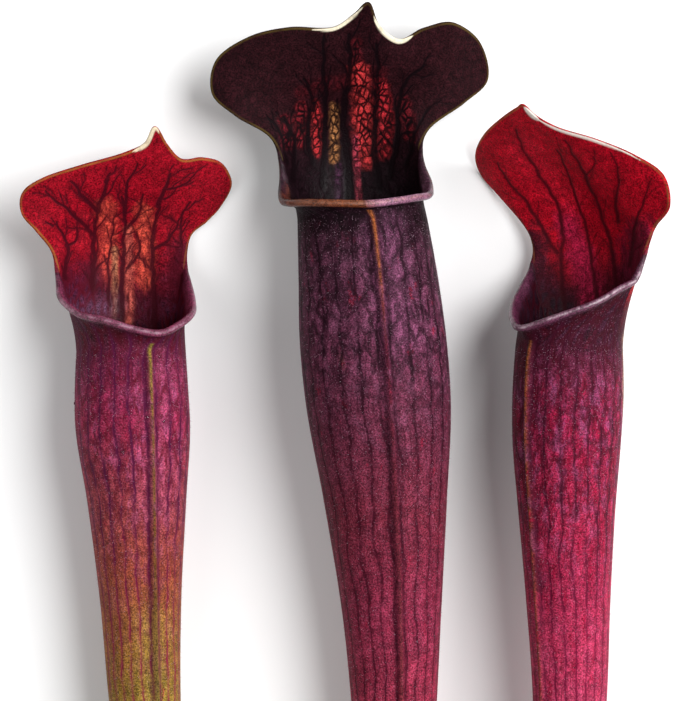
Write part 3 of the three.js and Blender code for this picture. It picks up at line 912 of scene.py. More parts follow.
    def skin(self, maker: MeshMaker, sheet: Sheet, loop: Array, edge: Array, inside: bool) -> None:
        """Adds one skin of the leaf, down to its foot.

        Args:
            maker: what gathers the mesh.
            sheet: the skins.
            loop: the numbers of the edge's points in the sheet.
            edge: the numbers that they have in the mesh.
            inside: whether this is the inner skin.
        """
        form, columns, throat = self.form, self.columns, sheet.throat
        shown, skin = (sheet.inner, 0.0) if inside else (sheet.outer, 1.0)
        ids = np.full(len(shown), -1)
        ids[loop] = edge
        rest = np.ones(len(shown), bool)
        rest[loop] = rest[throat[0]] = False
        near_lip = np.zeros(len(shown))
        rim_share = smoothstep(np.abs(columns), NECK_TURN, NECK_TURN + 15)[None]
        near_lip[throat] = rim_share * smoothstep(self.throat_shares(), 0.8, 1.0)
        ids[rest] = maker.add(
            shown[rest], angle=sheet.angle[rest], along=sheet.along[rest], skin=skin, lip=near_lip[rest],
        )
        if inside:
            low = np.linspace(HOLLOW_Y, form.throat_y - 24, self.hollow_rows)
            rows = np.concatenate([low, form.throat_y - np.arange(22, -1, -2.0)])[:, None]
        else:
            low = np.linspace(FOOT_Y + SEAT_GAP, self.low_top, self.low_rows)
            high = np.arange(self.low_top + self.row_step, form.throat_y - 0.4 * self.row_step, self.row_step)
            rows = np.concatenate([low, high, [form.throat_y]])[:, None]
        tube = form.tube(columns[None], rows, 0.0 if inside else WALL + form.keel(columns[None], rows))
        tube_ids = maker.add(tube, angle=columns[None], along=rows - form.throat_y, skin=skin, lip=0.0)
        ids[throat[0]] = tube_ids[-1]
        body = np.vstack([tube_ids[:-1], ids[throat]])
        lid = np.vstack([ids[throat[-1:, self.on_lid]], ids[sheet.lid]])
        maker.quads += [self.quads(self.closed(body), inside), self.quads(lid, inside)]

        x, z, _ = form.station(HOLLOW_Y if inside else FOOT_Y)
        foot_y = rows[0, 0]
        along = foot_y - form.throat_y
        tip = maker.add(np.array([[x, foot_y, z]]), angle=0.0, along=along, skin=skin, lip=0.0)
        foot, tips = tube_ids[0], np.full(len(columns), tip[0])
        after = np.roll(foot, -1)
        maker.triangles.append(np.stack([tips, after, foot] if inside else [tips, foot, after], -1))

    @staticmethod
    def closed(grid: Array) -> Array:
        """A grid of point numbers with its first column again at its end."""
        return np.hstack([grid, grid[:, :1]])

    @staticmethod
    def quads(grid: Array, inside: bool) -> Array:
        """The quads of a grid of point numbers.

        Args:
            grid: point numbers in rows.
            inside: whether the grid is of the inner skin.

        Returns:
            Four point numbers a quad.
        """
        a, b, c, d = grid[:-1, :-1], grid[:-1, 1:], grid[1:, 1:], grid[1:, :-1]
        return np.stack([corner.ravel() for corner in ([a, b, c, d] if inside else [a, d, c, b])], -1)

    def along(self, throat: Array, lid: Array) -> Array:
        """How far up the leaf each point of the sheet lies, in millimetres from the throat's start.

        Args:
            throat: the throat's points in rows.
            lid: the lid's points in rows.

        Returns:
            The distances.
        """
        steps = np.linalg.norm(np.diff(throat, axis=0), axis=-1)
        low = np.vstack([np.zeros(len(self.columns)), np.cumsum(steps, 0)])
        full = np.vstack([throat[-1][self.on_lid][None], lid])
        high = low[-1][self.on_lid] + np.cumsum(np.linalg.norm(np.diff(full, axis=0), axis=-1), 0)
        return np.concatenate([low.ravel(), high.ravel()])

    def dress(self, piece: bpy.types.Object) -> None:
        """Gives the leaf its UV map, its colour and vein attributes and its material.

        Args:
            piece: the leaf.
        """
        mesh = piece.data
        names = ("angle", "along", "skin", "lip")
        angle, along, skin, lip = (self.values_of(mesh, name) for name in names)
        co = np.empty(len(angle) * 3, np.float32)
        mesh.vertices.foreach_get("co", co)
        points = co.reshape(-1, 3).astype(float) * 1000 + ORIGIN
        above = np.abs(angle) < NECK_TURN + 0.01
        side = self.upper_side(angle, along)
        lid_share = smoothstep(along, 8, 26) * side
        self.unwrap(mesh, points, angle, along, lid_share)

        edge = self.margin_distance(points, angle, along)
        fray = 0.55 * np.array([noise.fractal(Vector(p * 0.42), 1.0, 2.0, 3) for p in points])
        tone = self.tones(points, angle, along, skin, lip, fray)
        colour = mesh.color_attributes.new("tone", "FLOAT_COLOR", "POINT")
        rgba = np.column_stack([tone, np.ones(len(tone))])
        colour.data.foreach_set("color", rgba.astype(np.float32).ravel())

        patches = [patch for patch in self.finish.patches if patch.part is Part.LID]
        window = np.max([patch.share(points, fray) for patch in patches], axis=0)
        ridge = np.abs(np.radians(180 - np.abs(angle)) * self.form.station(points[:, 1])[:, 2])
        outside = (skin > 0.5) & (along < 3)
        veins = np.zeros(len(points))
        seen = (along > -14) & ((skin < 0.7) | above)
        veins[seen] = Venation(self.finish).darkness(points[seen])
        veins *= smoothstep(edge, 0.3, 2.2) * np.where(above, 1.0, 0.0)
        throat = (skin < 0.5) * smoothstep(along, -30, -5) * (1 - smoothstep(along, 6, 20) * side)
        fields = {
            "vein": veins,
            "keel": np.exp(-((ridge / 0.9) ** 2)) * outside,
            # Painted shadow in thin bands either side of the keel's wing
            "keel_side_shadow": np.exp(-(((ridge - 1.2) / 0.55) ** 2)) * outside,
            "wet": np.maximum(lip, 0.12 * throat),
            "pale": self.pale_share(points, edge),
            "lid_share": lid_share,
            "height": along,
            "edge": edge,
            # Where the lip's painted highlight lies, along the crest of its roll
            "lip_glint_and_keel_ridge": lip * np.exp(-(((skin - 0.42) / 0.08) ** 2)),
            "net": lerp(0.35, 1.0, np.clip(window * 1.6, 0, 1)),
        }
        for name, value in fields.items():
            layer = mesh.attributes.new(name, "FLOAT", "POINT")
            layer.data.foreach_set("value", np.ascontiguousarray(value, np.float32))
        for name in ("angle", "along"):
            mesh.attributes.remove(mesh.attributes[name])
        mesh.materials.append(leaf_material(self.finish))

    def unwrap(
        self, mesh: bpy.types.Mesh, points: Array, angle: Array, along: Array, lid_share: Array,
    ) -> None:
        """Adds the UV map, in tenths of a metre: round the tube, or across the lid, and up the leaf.

        Args:
            mesh: the leaf's mesh.
            points: its points in millimetres.
            angle: their angles.
            along: their heights from the throat.
            lid_share: how far they belong to the lid.
        """
        loops = np.empty(len(mesh.loops), np.int32)
        mesh.loops.foreach_get("vertex_index", loops)
        starts = np.empty(len(mesh.polygons), np.int32)
        mesh.polygons.foreach_get("loop_start", starts)
        owner = np.repeat(np.arange(len(starts)), np.diff(np.append(starts, len(loops))))
        turned = angle[loops]
        past = np.maximum.reduceat(turned, starts)[owner] - turned > 180
        turned = np.where(past, turned + 360, turned)
        across = lerp(turned * U_PER_DEGREE, self.form.face_on(points)[loops, 0], lid_share[loops])
        places = np.stack([across, along[loops]], -1) / 100
        mesh.uv_layers.new(name="growth").data.foreach_set("uv", places.astype(np.float32).ravel())

    @staticmethod
    def upper_side(angle: Array, along: Array) -> Array:
        """How far each point lies on the lid's side of the leaf, with a soft change low down.

        Args:
            angle: the points' angles.
            along: their heights from the throat.

        Returns:
            Shares between 0 and 1.
        """
        soft = 1 - smoothstep(np.abs(angle), 58, 80)
        sharp = (np.abs(angle) < NECK_TURN + 0.01) * 1.0
        return lerp(soft, sharp, smoothstep(along, 10, 20))

    @staticmethod
    def values_of(mesh: bpy.types.Mesh, name: str) -> Array:
        """Reads a point attribute.

        Args:
            mesh: the mesh.
            name: the attribute's name.

        Returns:
            Its numbers.
        """
        values = np.empty(len(mesh.vertices), np.float32)
        mesh.attributes[name].data.foreach_get("value", values)
        return values.astype(float)

    def margin_distance(self, points: Array, angle: Array, along: Array) -> Array:
        """How far each point of the lid is from the lid's outline, in millimetres, up to a limit.

        Args:
            points: the points.
            angle: their angles.
            along: their heights from the throat.

        Returns:
            The distances.
        """
        edge = self.form.place(self.form.edge(np.linspace(-NECK_KEY, NECK_KEY, self.outline_steps)))
        tree = KDTree(len(edge))
        for i, p in enumerate(edge):
            tree.insert(p, i)
        tree.balance()
        result = np.full(len(points), self.edge_limit)
        lid = np.where((along > 5) & (np.abs(angle) < NECK_TURN + 2))[0]
        result[lid] = [min(self.edge_limit, tree.find(points[i])[2]) for i in lid]
        return result

    def pale_share(self, points: Array, edge: Array) -> Array:
        """How far each point belongs to the pale, curled part of the lid's margin.

        Args:
            points: the points.
            edge: their distance from the outline.

        Returns:
            Shares between 0 and 1.
        """
        share = np.zeros(len(points))
        near = edge < 11
        for first, last, reach in self.finish.pale_spans:
            line = self.form.place(self.form.edge(np.linspace(first, last, self.span_steps)))
            ends = reach * np.maximum(np.sin(np.linspace(0, math.pi, self.span_steps)) ** 0.5, 0.03)
            gaps = np.linalg.norm(points[near][:, None, :2] - line[None, :, :2], axis=2) / ends
            share[near] = np.maximum(share[near], 1 - smoothstep(gaps.min(axis=1), 0.6, 1.1))
        return share

    def tones(self, points: Array, angle: Array, along: Array, skin: Array, lip: Array, fray: Array) -> Array:
        """The ground colour of each point before its veins.

        Args:
            points: the points.
            angle: their angles.
            along: their heights from the throat.
            skin: 0 on the inner skin and 1 on the outer.
            lip: how far they belong to the lip.
            fray: how far a patch's edge strays at each.

        Returns:
            Linear colours.
        """
        finish = self.finish
        above = self.upper_side(angle, along)
        inner = skin < 0.5
        # The tube's ramp by height, whose dark top just under the lip is partly the skin's own colour and
        # partly painted shade under the lip
        tone = ramp_colour(finish.tube, points[:, 1])
        tone = mixed(tone, finish.lid, smoothstep(along, 2, 22) * above)
        tone = mixed(tone, finish.back, 0.6 * (skin > 0.6) * smoothstep(along, 10, 26) * above)
        tone = mixed(tone, finish.throat, inner * (1 - smoothstep(along, *finish.throat_top) * above))
        tone = mixed(tone, finish.hollow, inner * (1 - smoothstep(along, -40, 2)))
        where = {
            Part.LID: (along > -6) * (skin < 0.75) * (1 - lip),
            Part.TUBE: (skin > 0.5) * (along < 3) * (1 - lip),
            Part.LIP: lip,
        }
        tone = mixed(tone, finish.lip, lip)
        for patch in finish.patches:
            tone = mixed(tone, patch.colour, patch.share(points, fray) * where[patch.part])
        ridge = np.radians(180 - np.abs(angle)) * self.form.station(points[:, 1])[:, 2]
        # The keel's own colours along its ridge
        lip_glint_and_keel_ridge = np.exp(-((ridge / 0.6) ** 2)) * (skin > 0.5) * (along < 3) * (1 - lip)
        return tone + (ramp_colour(finish.keel, points[:, 1]) - tone) * lip_glint_and_keel_ridge[:, None]

    def extras(self) -> list[bpy.types.Object]:
        """The leaf's down and dew."""
        rng = np.random.default_rng(self.finish.seed + 5)
        angle = rng.uniform(-180, 180, self.finish.hairs)
        depth = self.down_reach * rng.uniform(0, 1, self.finish.hairs) ** 1.3
        y = self.form.throat_y - 0.5 - depth
        down = Down(self.finish.hair_colour)
        pieces = [down.build(self.sizes.node, self.outer(angle, y), self.finish.seed)]
        if self.finish.drops:
            spots = np.array(self.finish.drops)
            pieces.append(Dew().build(self.sizes.node, self.front_of(spots[:, :2]), spots[:, 2]))
        return pieces

    def outer(self, angle: Array, y: Array) -> list[tuple[Array, Array]]:
        """Places on the tube's outer skin, with their normals.

        Args:
            angle: the angle of each.
            y: its height.

        Returns:
            Each place with its normal.
        """
        place = self.form.tube(angle, y, WALL + self.form.keel(angle, y))
        inner = self.form.tube(angle, y)
        return list(zip(place, unit(place - inner)))

    def front_of(self, spots: Array) -> list[tuple[Array, Array]]:
        """Places on the front of the tube that are seen from above at given points.

        Args:
            spots: x and y of each, in millimetres.

        Returns:
            The places on the skin, with their normals.
        """
        result = []
        turns = np.linspace(-180, 180, 721)
        for x, y in spots:
            height = min(y, self.form.throat_y)
            ring = self.form.tube(turns, np.full(len(turns), height), WALL)
            score = np.abs(ring[:, 0] - x) - 0.05 * ring[:, 2] + 9 * (ring[:, 2] < ring[:, 2].mean())
            result += self.outer(turns[[score.argmin()]], np.array([height]))
        return result


def ramp_colour(stops: Sequence[tuple[float, str]], heights: Array) -> Array:
    """The linear colours that a ramp gives at some heights.

    Args:
        stops: the ramp's heights and sRGB hex codes.
        heights: the heights.

    Returns:
        The colours.
    """
    table = np.array([linear(code)[:3] for _, code in stops])
    return np.stack([np.interp(heights, [h for h, _ in stops], table[:, k]) for k in range(3)], -1)


def mixed(tone: Array, code: str, share: Array) -> Array:
    """Linear colours mixed with one sRGB hex colour."""
    return tone + (np.array(linear(code)[:3]) - tone) * np.asarray(share, float)[:, None]


def add_node(
    tree: bpy.types.NodeTree,
    kind: str,
    *inputs: object,
    out: int | str = 0,
    named: dict[int | str, object] | None = None,
    **settings: object,
) -> bpy.types.NodeSocket:
    """Adds a node with its settings and links.

    Args:
        tree: the material's nodes.
        kind: the node's type, without its "ShaderNode".
        inputs: what its inputs take in order: an output socket, a value, or None to leave one alone.
        out: the output that is wanted.
        named: what other inputs take, by name or number.
        settings: the node's own properties.

    Returns:
        The output, or None where the node has none.
    """
    node = tree.nodes.new("ShaderNode" + kind)
    for name, value in settings.items():
        setattr(node, name, value)
    for key, value in list(enumerate(inputs)) + list((named or {}).items()):
        if isinstance(value, bpy.types.NodeSocket):
            tree.links.new(value, node.inputs[key])
        elif value is not None:
            node.inputs[key].default_value = value
    return node.outputs[out] if node.outputs else None


def fresh_tree(name: str) -> tuple[bpy.types.Material, partial]:
    """Makes a material without nodes.

    Args:
        name: the material's name.

    Returns:
        The material, and the function that adds nodes to it.
    """
    material = bpy.data.materials.new(name)
    material.use_nodes = True
    material.node_tree.nodes.clear()
    return material, partial(add_node, material.node_tree)


def leaf_material(finish: LeafFinish) -> bpy.types.Material:
    """The material of one leaf.

    Args:
        finish: its colours.

    Returns:
        The material.
    """
    material, add = fresh_tree(finish.name)
    smooth = {"interpolation_type": "SMOOTHSTEP"}
    times = {"operation": "MULTIPLY"}
    most = {"operation": "MAXIMUM"}
    blend = {"out": 2, "data_type": "RGBA"}
    place = add("TexCoord", out="Object")
    growth = add("UVMap", out="UV", uv_map="growth")
    across = add("SeparateXYZ", growth, out=0)
    up = add("SeparateXYZ", growth, out=1)
    names = (
        "skin", "lip", "keel", "lid_share", "height", "wet", "net", "vein", "keel_side_shadow", "lip_glint_and_keel_ridge", "edge", "pale",
    )
    skin, lip, keel, lid, height, wet, windows, drawn, keel_side_shadow, lip_glint_and_keel_ridge, edge, pale = (
        add("Attribute", out="Fac", attribute_name=name) for name in names
    )
    tube = add("Math", 1.0, lid, operation="SUBTRACT")
    outside = add("MapRange", skin, 0.4, 0.9, **smooth)
    outside_tube = add("Math", tube, outside, **times)
    plain = add("Math", 1.0, add("Math", lip, keel, **most), operation="SUBTRACT")

    # Uneven growth: blotches about 7 mm, 2 mm and half a millimetre across
    coarse, middling, fine = (
        add("TexNoise", place, None, 1000 / size, 3.0, 0.6, out="Fac") for size in (7.0, 2.2, 0.46)
    )
    shade = add("MapRange", coarse, 0.3, 0.7, 0.84, 1.08, **smooth)
    shade = add("Math", shade, add("MapRange", middling, 0.3, 0.7, 0.72, 1.22, **smooth), **times)
    shade = add("Math", shade, add("MapRange", fine, 0.3, 0.7, 0.34, 1.68, **smooth), **times)
    tone = add("Attribute", out="Color", attribute_name="tone")

    # The waxy bloom: patches with crumbled edges on the tube, with bare, redder skin between them
    stretched = add("CombineXYZ", add("Math", across, 100.0, **times), add("Math", up, 42.0, **times))
    drifts = add("TexNoise", stretched, None, 0.28, 6.0, 0.72, out="Fac")
    bared = add("MapRange", drifts, finish.bare_from, finish.bare_from + 0.05, **smooth)
    bared = add("Math", bared, add("Math", outside_tube, finish.bare_share, **times), **times)
    dusty = add("Math", add("MapRange", drifts, 0.5, 0.42, **smooth), outside_tube, **times)
    dusty = add("Math", dusty, add("MapRange", height, -85.0, -25.0, 0.1, 0.5, **smooth), **times)
    # Bloom and bare patches fade out just under the lip, so that the dark band there, partly painted shade
    # under the lip, stays dark
    under_lip_shade_fade = add("MapRange", height, -14.0, -4.0, 1.0, 0.15, **smooth)
    dusty, bared = (add("Math", share, under_lip_shade_fade, **times) for share in (dusty, bared))
    ground = add("Mix", dusty, named={6: tone, 7: linear(finish.bloom)}, **blend)
    ground = add("Mix", bared, named={6: ground, 7: linear(finish.bare)}, **blend)
    grey = add("CombineColor", shade, shade, shade)
    ground = add("Mix", 1.0, named={6: ground, 7: grey}, **blend, blend_type="MULTIPLY")

    # The fine net of veins, with cells about 2 mm wide and up to 6 mm long in the direction of growth
    bend = add("TexNoise", place, None, 1000 / 3.5, 2.0, out="Fac")
    bend = add("Math", add("Math", bend, 0.5, operation="SUBTRACT"), 0.016, **times)
    net_x = add("Math", lid, finish.lid_cells[0] - 42, 42.0, operation="MULTIPLY_ADD")
    net_x = add("Math", add("Math", across, bend, operation="ADD"), net_x, **times)
    net_y = add("Math", lid, finish.lid_cells[1] - 16, 16.0, operation="MULTIPLY_ADD")
    net_y = add("Math", add("Math", up, bend, operation="ADD"), net_y, **times)
    cells = add(
        "TexVoronoi", add("CombineXYZ", net_x, net_y), out="Distance", feature="DISTANCE_TO_EDGE",
        named={"Scale": 1.0, "Randomness": 0.95},
    )
    mesh_lines = add("MapRange", cells, 0.03, 0.24, 1.0, 0.0, **smooth)
    lid_net = add("Math", lid, finish.lid_net, **times)
    low_fade = add("MapRange", height, -80.0, -30.0, 0.0, finish.tube_net, **smooth)
    tube_net = add("Math", tube, low_fade, **times)
    breaks = add("TexNoise", place, None, 1000 / 4.0, 3.0, out="Fac")
    broken = add("MapRange", breaks, 0.38, 0.62, 0.5, 1.0, **smooth)
    broken = add("Math", broken, add("MapRange", windows, 0.5, 0.9, 0.0, 0.95, **smooth), **most)
    net = add("Math", mesh_lines, add("Math", lid_net, tube_net, operation="ADD"), **times)
    net = add("Math", net, add("Math", broken, plain, **times), **times)
    net = add("Math", net, add("Math", windows, tube, **most), **times)

    # Veins that run down the tube, about 4 mm apart at its top, and thinner ones between them, with painted
    # shade on the lanes beside the veins
    sway = add("TexNoise", place, None, 1000 / 15, 3.0, out="Fac")
    sway = add("Math", add("Math", sway, 0.5, operation="SUBTRACT"), 0.05, **times)
    swayed = add("Math", across, sway, operation="ADD")
    patchy = add("TexNoise", place, None, 1000 / 8, 3.0, 0.6, out="Fac")
    lane = add("Math", add("Math", swayed, 24.0, **times), 0.5, operation="PINGPONG")
    lane = add("Math", lane, add("Math", middling, 0.09, **times), operation="ADD")
    vein_stripe_and_lane_shade = add("MapRange", lane, 0.07, 0.22, 1.0, 0.0, **smooth)
    # Painted shade on the lanes, darkest beside a vein and gone by the lane's middle, for the lanes' rounded
    # rise
    vein_stripe_and_lane_shade = add("Math", vein_stripe_and_lane_shade, add("MapRange", lane, 0.1, 0.5, 0.4, 0.0, **smooth), **most)
    vein_stripe_and_lane_shade = add("Math", vein_stripe_and_lane_shade, add("MapRange", patchy, 0.3, 0.58, 0.5, 1.0, **smooth), **times)
    thin_lane = add("Math", add("Math", swayed, 79.0, **times), 0.5, operation="PINGPONG")
    thin = add("MapRange", thin_lane, 0.04, 0.2, 0.5, 0.0, **smooth)
    thin = add("Math", thin, add("MapRange", patchy, 0.45, 0.6, **smooth), **times)
    vein_stripe_and_lane_shade = add("Math", add("Math", vein_stripe_and_lane_shade, thin, **most), finish.vein_stripe_and_lane_shade, **times)
    vein_stripe_and_lane_shade = add("Math", vein_stripe_and_lane_shade, add("Math", outside_tube, plain, **times), **times)

    # The veins of the lid, whose edges are frayed by the noise
    fray = add("Math", add("Math", middling, fine, operation="ADD"), 1.0, operation="SUBTRACT")
    drawn = add("Math", drawn, add("Math", fray, 0.45, **times), operation="ADD")
    drawn = add("MapRange", drawn, 0.14, finish.vein_softness, 0.0, 0.94, **smooth)
    drawn = add("Math", drawn, plain, **times)

    raised = add("MapRange", height, -95.0, -35.0, **smooth)
    tube_vein = add("Mix", raised, named={6: linear(finish.low_vein), 7: linear(finish.tube_vein)}, **blend)
    colour = add("Mix", net, named={6: ground, 7: linear(finish.net)}, **blend)
    colour = add("Mix", vein_stripe_and_lane_shade, named={6: colour, 7: tube_vein}, **blend)
    colour = add("Mix", drawn, named={6: colour, 7: linear(finish.vein)}, **blend)
    # Painted shadow beside the keel's wing, in the tube's vein colour
    keel_side_shadow = add("Math", keel_side_shadow, 0.5, **times)
    colour = add("Mix", keel_side_shadow, named={6: colour, 7: linear(finish.tube_vein)}, **blend)

    # A painted highlight along the lip's crest, the lid's thin golden margin and its pale, curled part
    lip_glint_range = 0.4, 0.62, 0.05, finish.lip_glint_share
    lip_glint_and_keel_ridge = add("Math", lip_glint_and_keel_ridge, add("MapRange", middling, *lip_glint_range, **smooth), **times)
    colour = add("Mix", lip_glint_and_keel_ridge, named={6: colour, 7: linear(finish.lip_glint_and_keel_ridge)}, **blend)
    rim = add("MapRange", edge, 0.1, 0.5, finish.margin_share, 0.0, **smooth)
    rim = add("Math", rim, add("MapRange", patchy, 0.35, 0.6, 0.35, 1.0, **smooth), **times)
    rim = add("Math", rim, add("MapRange", lip, 0.0, 0.3, 1.0, 0.0, **smooth), **times)
    colour = add("Mix", rim, named={6: colour, 7: linear(finish.margin)}, **blend)
    pale = add("Math", pale, add("MapRange", middling, 0.25, 0.5, 0.7, 1.0, **smooth), **times)
    colour = add("Mix", pale, named={6: colour, 7: linear(finish.pale)}, **blend)

    # Down on the tube, as pale specks about 0.6 mm apart, coarser than life so that they show
    spread = {"Scale": 1000 / 0.62, "Randomness": 1.0}
    grain = add("TexVoronoi", place, out="Distance", feature="F1", named=spread)
    speck = add("MapRange", grain, 0.18, 0.36, 1.0, 0.0, **smooth)
    speck = add("Math", speck, add("MapRange", fine, 0.45, 0.62, **smooth), **times)
    speck = add("Math", speck, add("Math", outside_tube, plain, **times), **times)
    speck = add("Math", speck, 0.2, **times)
    colour = add("Mix", speck, named={6: colour, 7: linear(SPECK_COLOUR)}, **blend)

    relief = add("Math", add("Math", middling, 0.6, **times), fine, operation="ADD")
    ink = add("Math", add("Math", net, vein_stripe_and_lane_shade, **most), drawn, **most)
    relief = add("Math", relief, add("Math", ink, 0.7, **times), operation="SUBTRACT")
    bump = add("Bump", out="Normal", named={"Height": relief, "Strength": 0.6, "Distance": 0.0004})
    rough = add("MapRange", fine, 0.3, 0.7, 0.42, 0.62, **smooth)
    coat = add("Math", wet, 0.7, **times)
    shader = add(
        "BsdfPrincipled", colour,
        named={
            "Roughness": rough, "Normal": bump, "IOR": 1.42, "Specular IOR Level": 0.05, "Coat Weight": coat,
            "Coat Roughness": 0.12, "Coat Normal": bump,
        },
    )
    add("OutputMaterial", shader)
    return material


def shape_of(piece: bpy.types.Object) -> tuple[Array, Array]:
    """Takes the shape of an object, which is removed.

    Args:
        piece: the object.

    Returns:
        Its points and its triangles.
    """
    shape = np.array([piece.matrix_world @ v.co for v in piece.data.vertices])
    faces = np.array([f.vertices for f in piece.data.polygons])
    bpy.data.objects.remove(piece)
    return shape, faces


@dataclass(frozen=True)
class Dew:
    """Clear water drops that stand on the leaf, as after rain: each a low dome with a small bright glint."""

    name: str = "clear_water"
    height: float = 0.62

    def build(
        self, node: str, skin: Sequence[tuple[Array, Array]], sizes: Sequence[float],
    ) -> bpy.types.Object:
        """Builds the drops of a leaf as one object.

        Args:
            node: the leaf's node.
            skin: the place and the normal of each drop, in millimetres.
            sizes: the drops' radii.

        Returns:
            The drops' object.
        """
        bpy.ops.mesh.primitive_ico_sphere_add(subdivisions=2, radius=1.0)
        maker = MeshMaker()
        axes = []
        for (_, normal), size in zip(skin, sizes):
            side = unit(np.cross(normal, (0.0, 1.0, 0.0)))
            axes.append(size * np.stack([side, np.cross(normal, side), normal * self.height]))
        maker.scatter(*shape_of(bpy.context.object), [place for place, _ in skin], axes)
        piece = maker.make(node + "_dew")
        piece.data.materials.append(self.material())
        return piece

    def material(self) -> bpy.types.Material:
        """Water: clear, smooth, with an index of refraction of 1.33."""
        material, add = fresh_tree(self.name)
        shader = add(
            "BsdfPrincipled", (1, 1, 1, 1),
            named={"Roughness": 0.03, "IOR": 1.33, "Transmission Weight": 1.0},
        )
        add("OutputMaterial", shader)
        return material


@dataclass(frozen=True)
class Down:
    """The short, pale down of a leaf: hairs that point down the tube."""

    colour: str
    length: float = 0.75
    radius: float = 0.035
    sunk: float = 0.03
    mess: float = 0.35
    lean: tuple[float, float] = (-0.5, 0.3)
    lengths: tuple[float, float] = (0.6, 1.25)
    name: str = "pale_leaf_hair"

    def build(self, node: str, skin: Sequence[tuple[Array, Array]], seed: int) -> bpy.types.Object:
        """Builds the hairs of a leaf as one object.

        Args:
            node: the leaf's node.
            skin: the foot and the normal of each hair, in millimetres.
            seed: the leaf's seed.

        Returns:
            The hairs' object.
        """
        bpy.ops.mesh.primitive_cone_add(
            vertices=3, radius1=self.radius, radius2=0, depth=1, location=(0, 0, 0.5),
        )
        rng = np.random.default_rng(seed)
        maker = MeshMaker()
        axes = []
        for _, normal in skin:
            strayed = normal + rng.normal(0, self.mess, 3)
            way = unit(strayed + np.array([0.0, rng.uniform(*self.lean), 0.0]))
            side = unit(np.cross(way, (0.3, 1.0, 0.2)))
            axes.append(np.stack([side, np.cross(way, side), way * self.length * rng.uniform(*self.lengths)]))
        feet = [place - self.sunk * normal for place, normal in skin]
        maker.scatter(*shape_of(bpy.context.object), feet, axes)
        piece = maker.make(node + "_down")
        piece.data.materials.append(self.material())
        return piece

    def material(self) -> bpy.types.Material:
        """Dry hair: matte and slightly translucent to the eye, so it is pale."""
        material, add = fresh_tree(self.name + "_" + self.colour.lower())
        dry = {"Roughness": 0.7, "Specular IOR Level": 0.2}
        shader = add("BsdfPrincipled", linear(self.colour), named=dry)
        add("OutputMaterial", shader)
        return material


@dataclass(frozen=True)
class Bark:
    """The rhizome and its roots: corky bark that growth has cracked, with the roots smoother and paler."""

    node: str = "rhizome_with_roots"
    name: str = "corky_rhizome_bark"
    dark: str = "24160E"
    middle: str = "543823"
    light: str = "8E7050"
    voxel: float = 0.0007
    swell: float = 0.00035
    crack: float = 0.0003

    def build(self) -> bpy.types.Object:
        """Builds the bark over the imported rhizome, smoothed and roughened inside its own box."""
        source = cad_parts[self.node]
        piece = source.copy()
        piece.data = source.data.copy()
        piece.name = "rhizome_bark"
        bpy.context.scene.collection.objects.link(piece)
        bpy.ops.object.select_all(action="DESELECT")
        piece.select_set(True)
        bpy.context.view_layer.objects.active = piece
        bpy.ops.object.transform_apply(location=True, rotation=True, scale=True)
        bpy.ops.object.mode_set(mode="EDIT")
        bpy.ops.mesh.select_all(action="SELECT")
        bpy.ops.mesh.remove_doubles(threshold=1e-6)
        bpy.ops.object.mode_set(mode="OBJECT")
        packed = np.array([v.co for v in piece.data.vertices])
        remesh = piece.modifiers.new("even_skin", "REMESH")
        remesh.mode, remesh.voxel_size, remesh.use_smooth_shade = "VOXEL", self.voxel, True
        bpy.ops.object.modifier_apply(modifier=remesh.name)
        smooth = piece.modifiers.new("rounded", "SMOOTH")
        smooth.factor, smooth.iterations = 0.5, 4
        bpy.ops.object.modifier_apply(modifier=smooth.name)
        self.roughen(piece, packed.min(axis=0), packed.max(axis=0))
        piece.data.materials.clear()
        piece.data.materials.append(self.material())
        return piece

    def roughen(self, piece: bpy.types.Object, low: Array, high: Array) -> None:
        """Cracks and swells the bark by rule.

        Args:
            piece: the bark.
            low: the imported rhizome's lowest corner, in metres.
            high: its highest corner.
        """
        mesh = piece.data
        points = np.array([v.co for v in mesh.vertices])
        normals = np.array([v.normal for v in mesh.vertices])
        swell = np.array([noise.fractal(Vector(p * 260), 1.0, 2.0, 4) for p in points])
        rings = np.array([abs(noise.noise(Vector((p[0] * 420, p[1] * 90, p[2] * 90)))) for p in points])
        points += normals * (self.swell * swell - self.crack * (1 - rings) ** 6)[:, None]
        points = np.clip(points, low, high)
        mesh.vertices.foreach_set("co", points.astype(np.float32).ravel())
        mesh.update()

    def material(self) -> bpy.types.Material:
        """Bark: dull, brown and blotched, with pale flakes about 0.8 mm across."""
        material, add = fresh_tree(self.name)
        place = add("TexCoord", out="Object")
        coarse = add("TexNoise", place, None, 1000 / 6, 4.0, 0.6, out="Fac")
        fine = add("TexNoise", place, None, 1000 / 0.8, 3.0, 0.6, out="Fac")
        blend = {"out": 2, "data_type": "RGBA"}
        browned, flaked = add("MapRange", coarse, 0.35, 0.65), add("MapRange", fine, 0.5, 0.75)
        colour = add("Mix", browned, named={6: linear(self.dark), 7: linear(self.middle)}, **blend)
        colour = add("Mix", flaked, named={6: colour, 7: linear(self.light)}, **blend)
        bump = add("Bump", out="Normal", named={"Height": fine, "Strength": 0.8, "Distance": 0.0006})
        shader = add("BsdfPrincipled", colour, named={"Roughness": 0.82, "Normal": bump})
        add("OutputMaterial", shader)
        return material


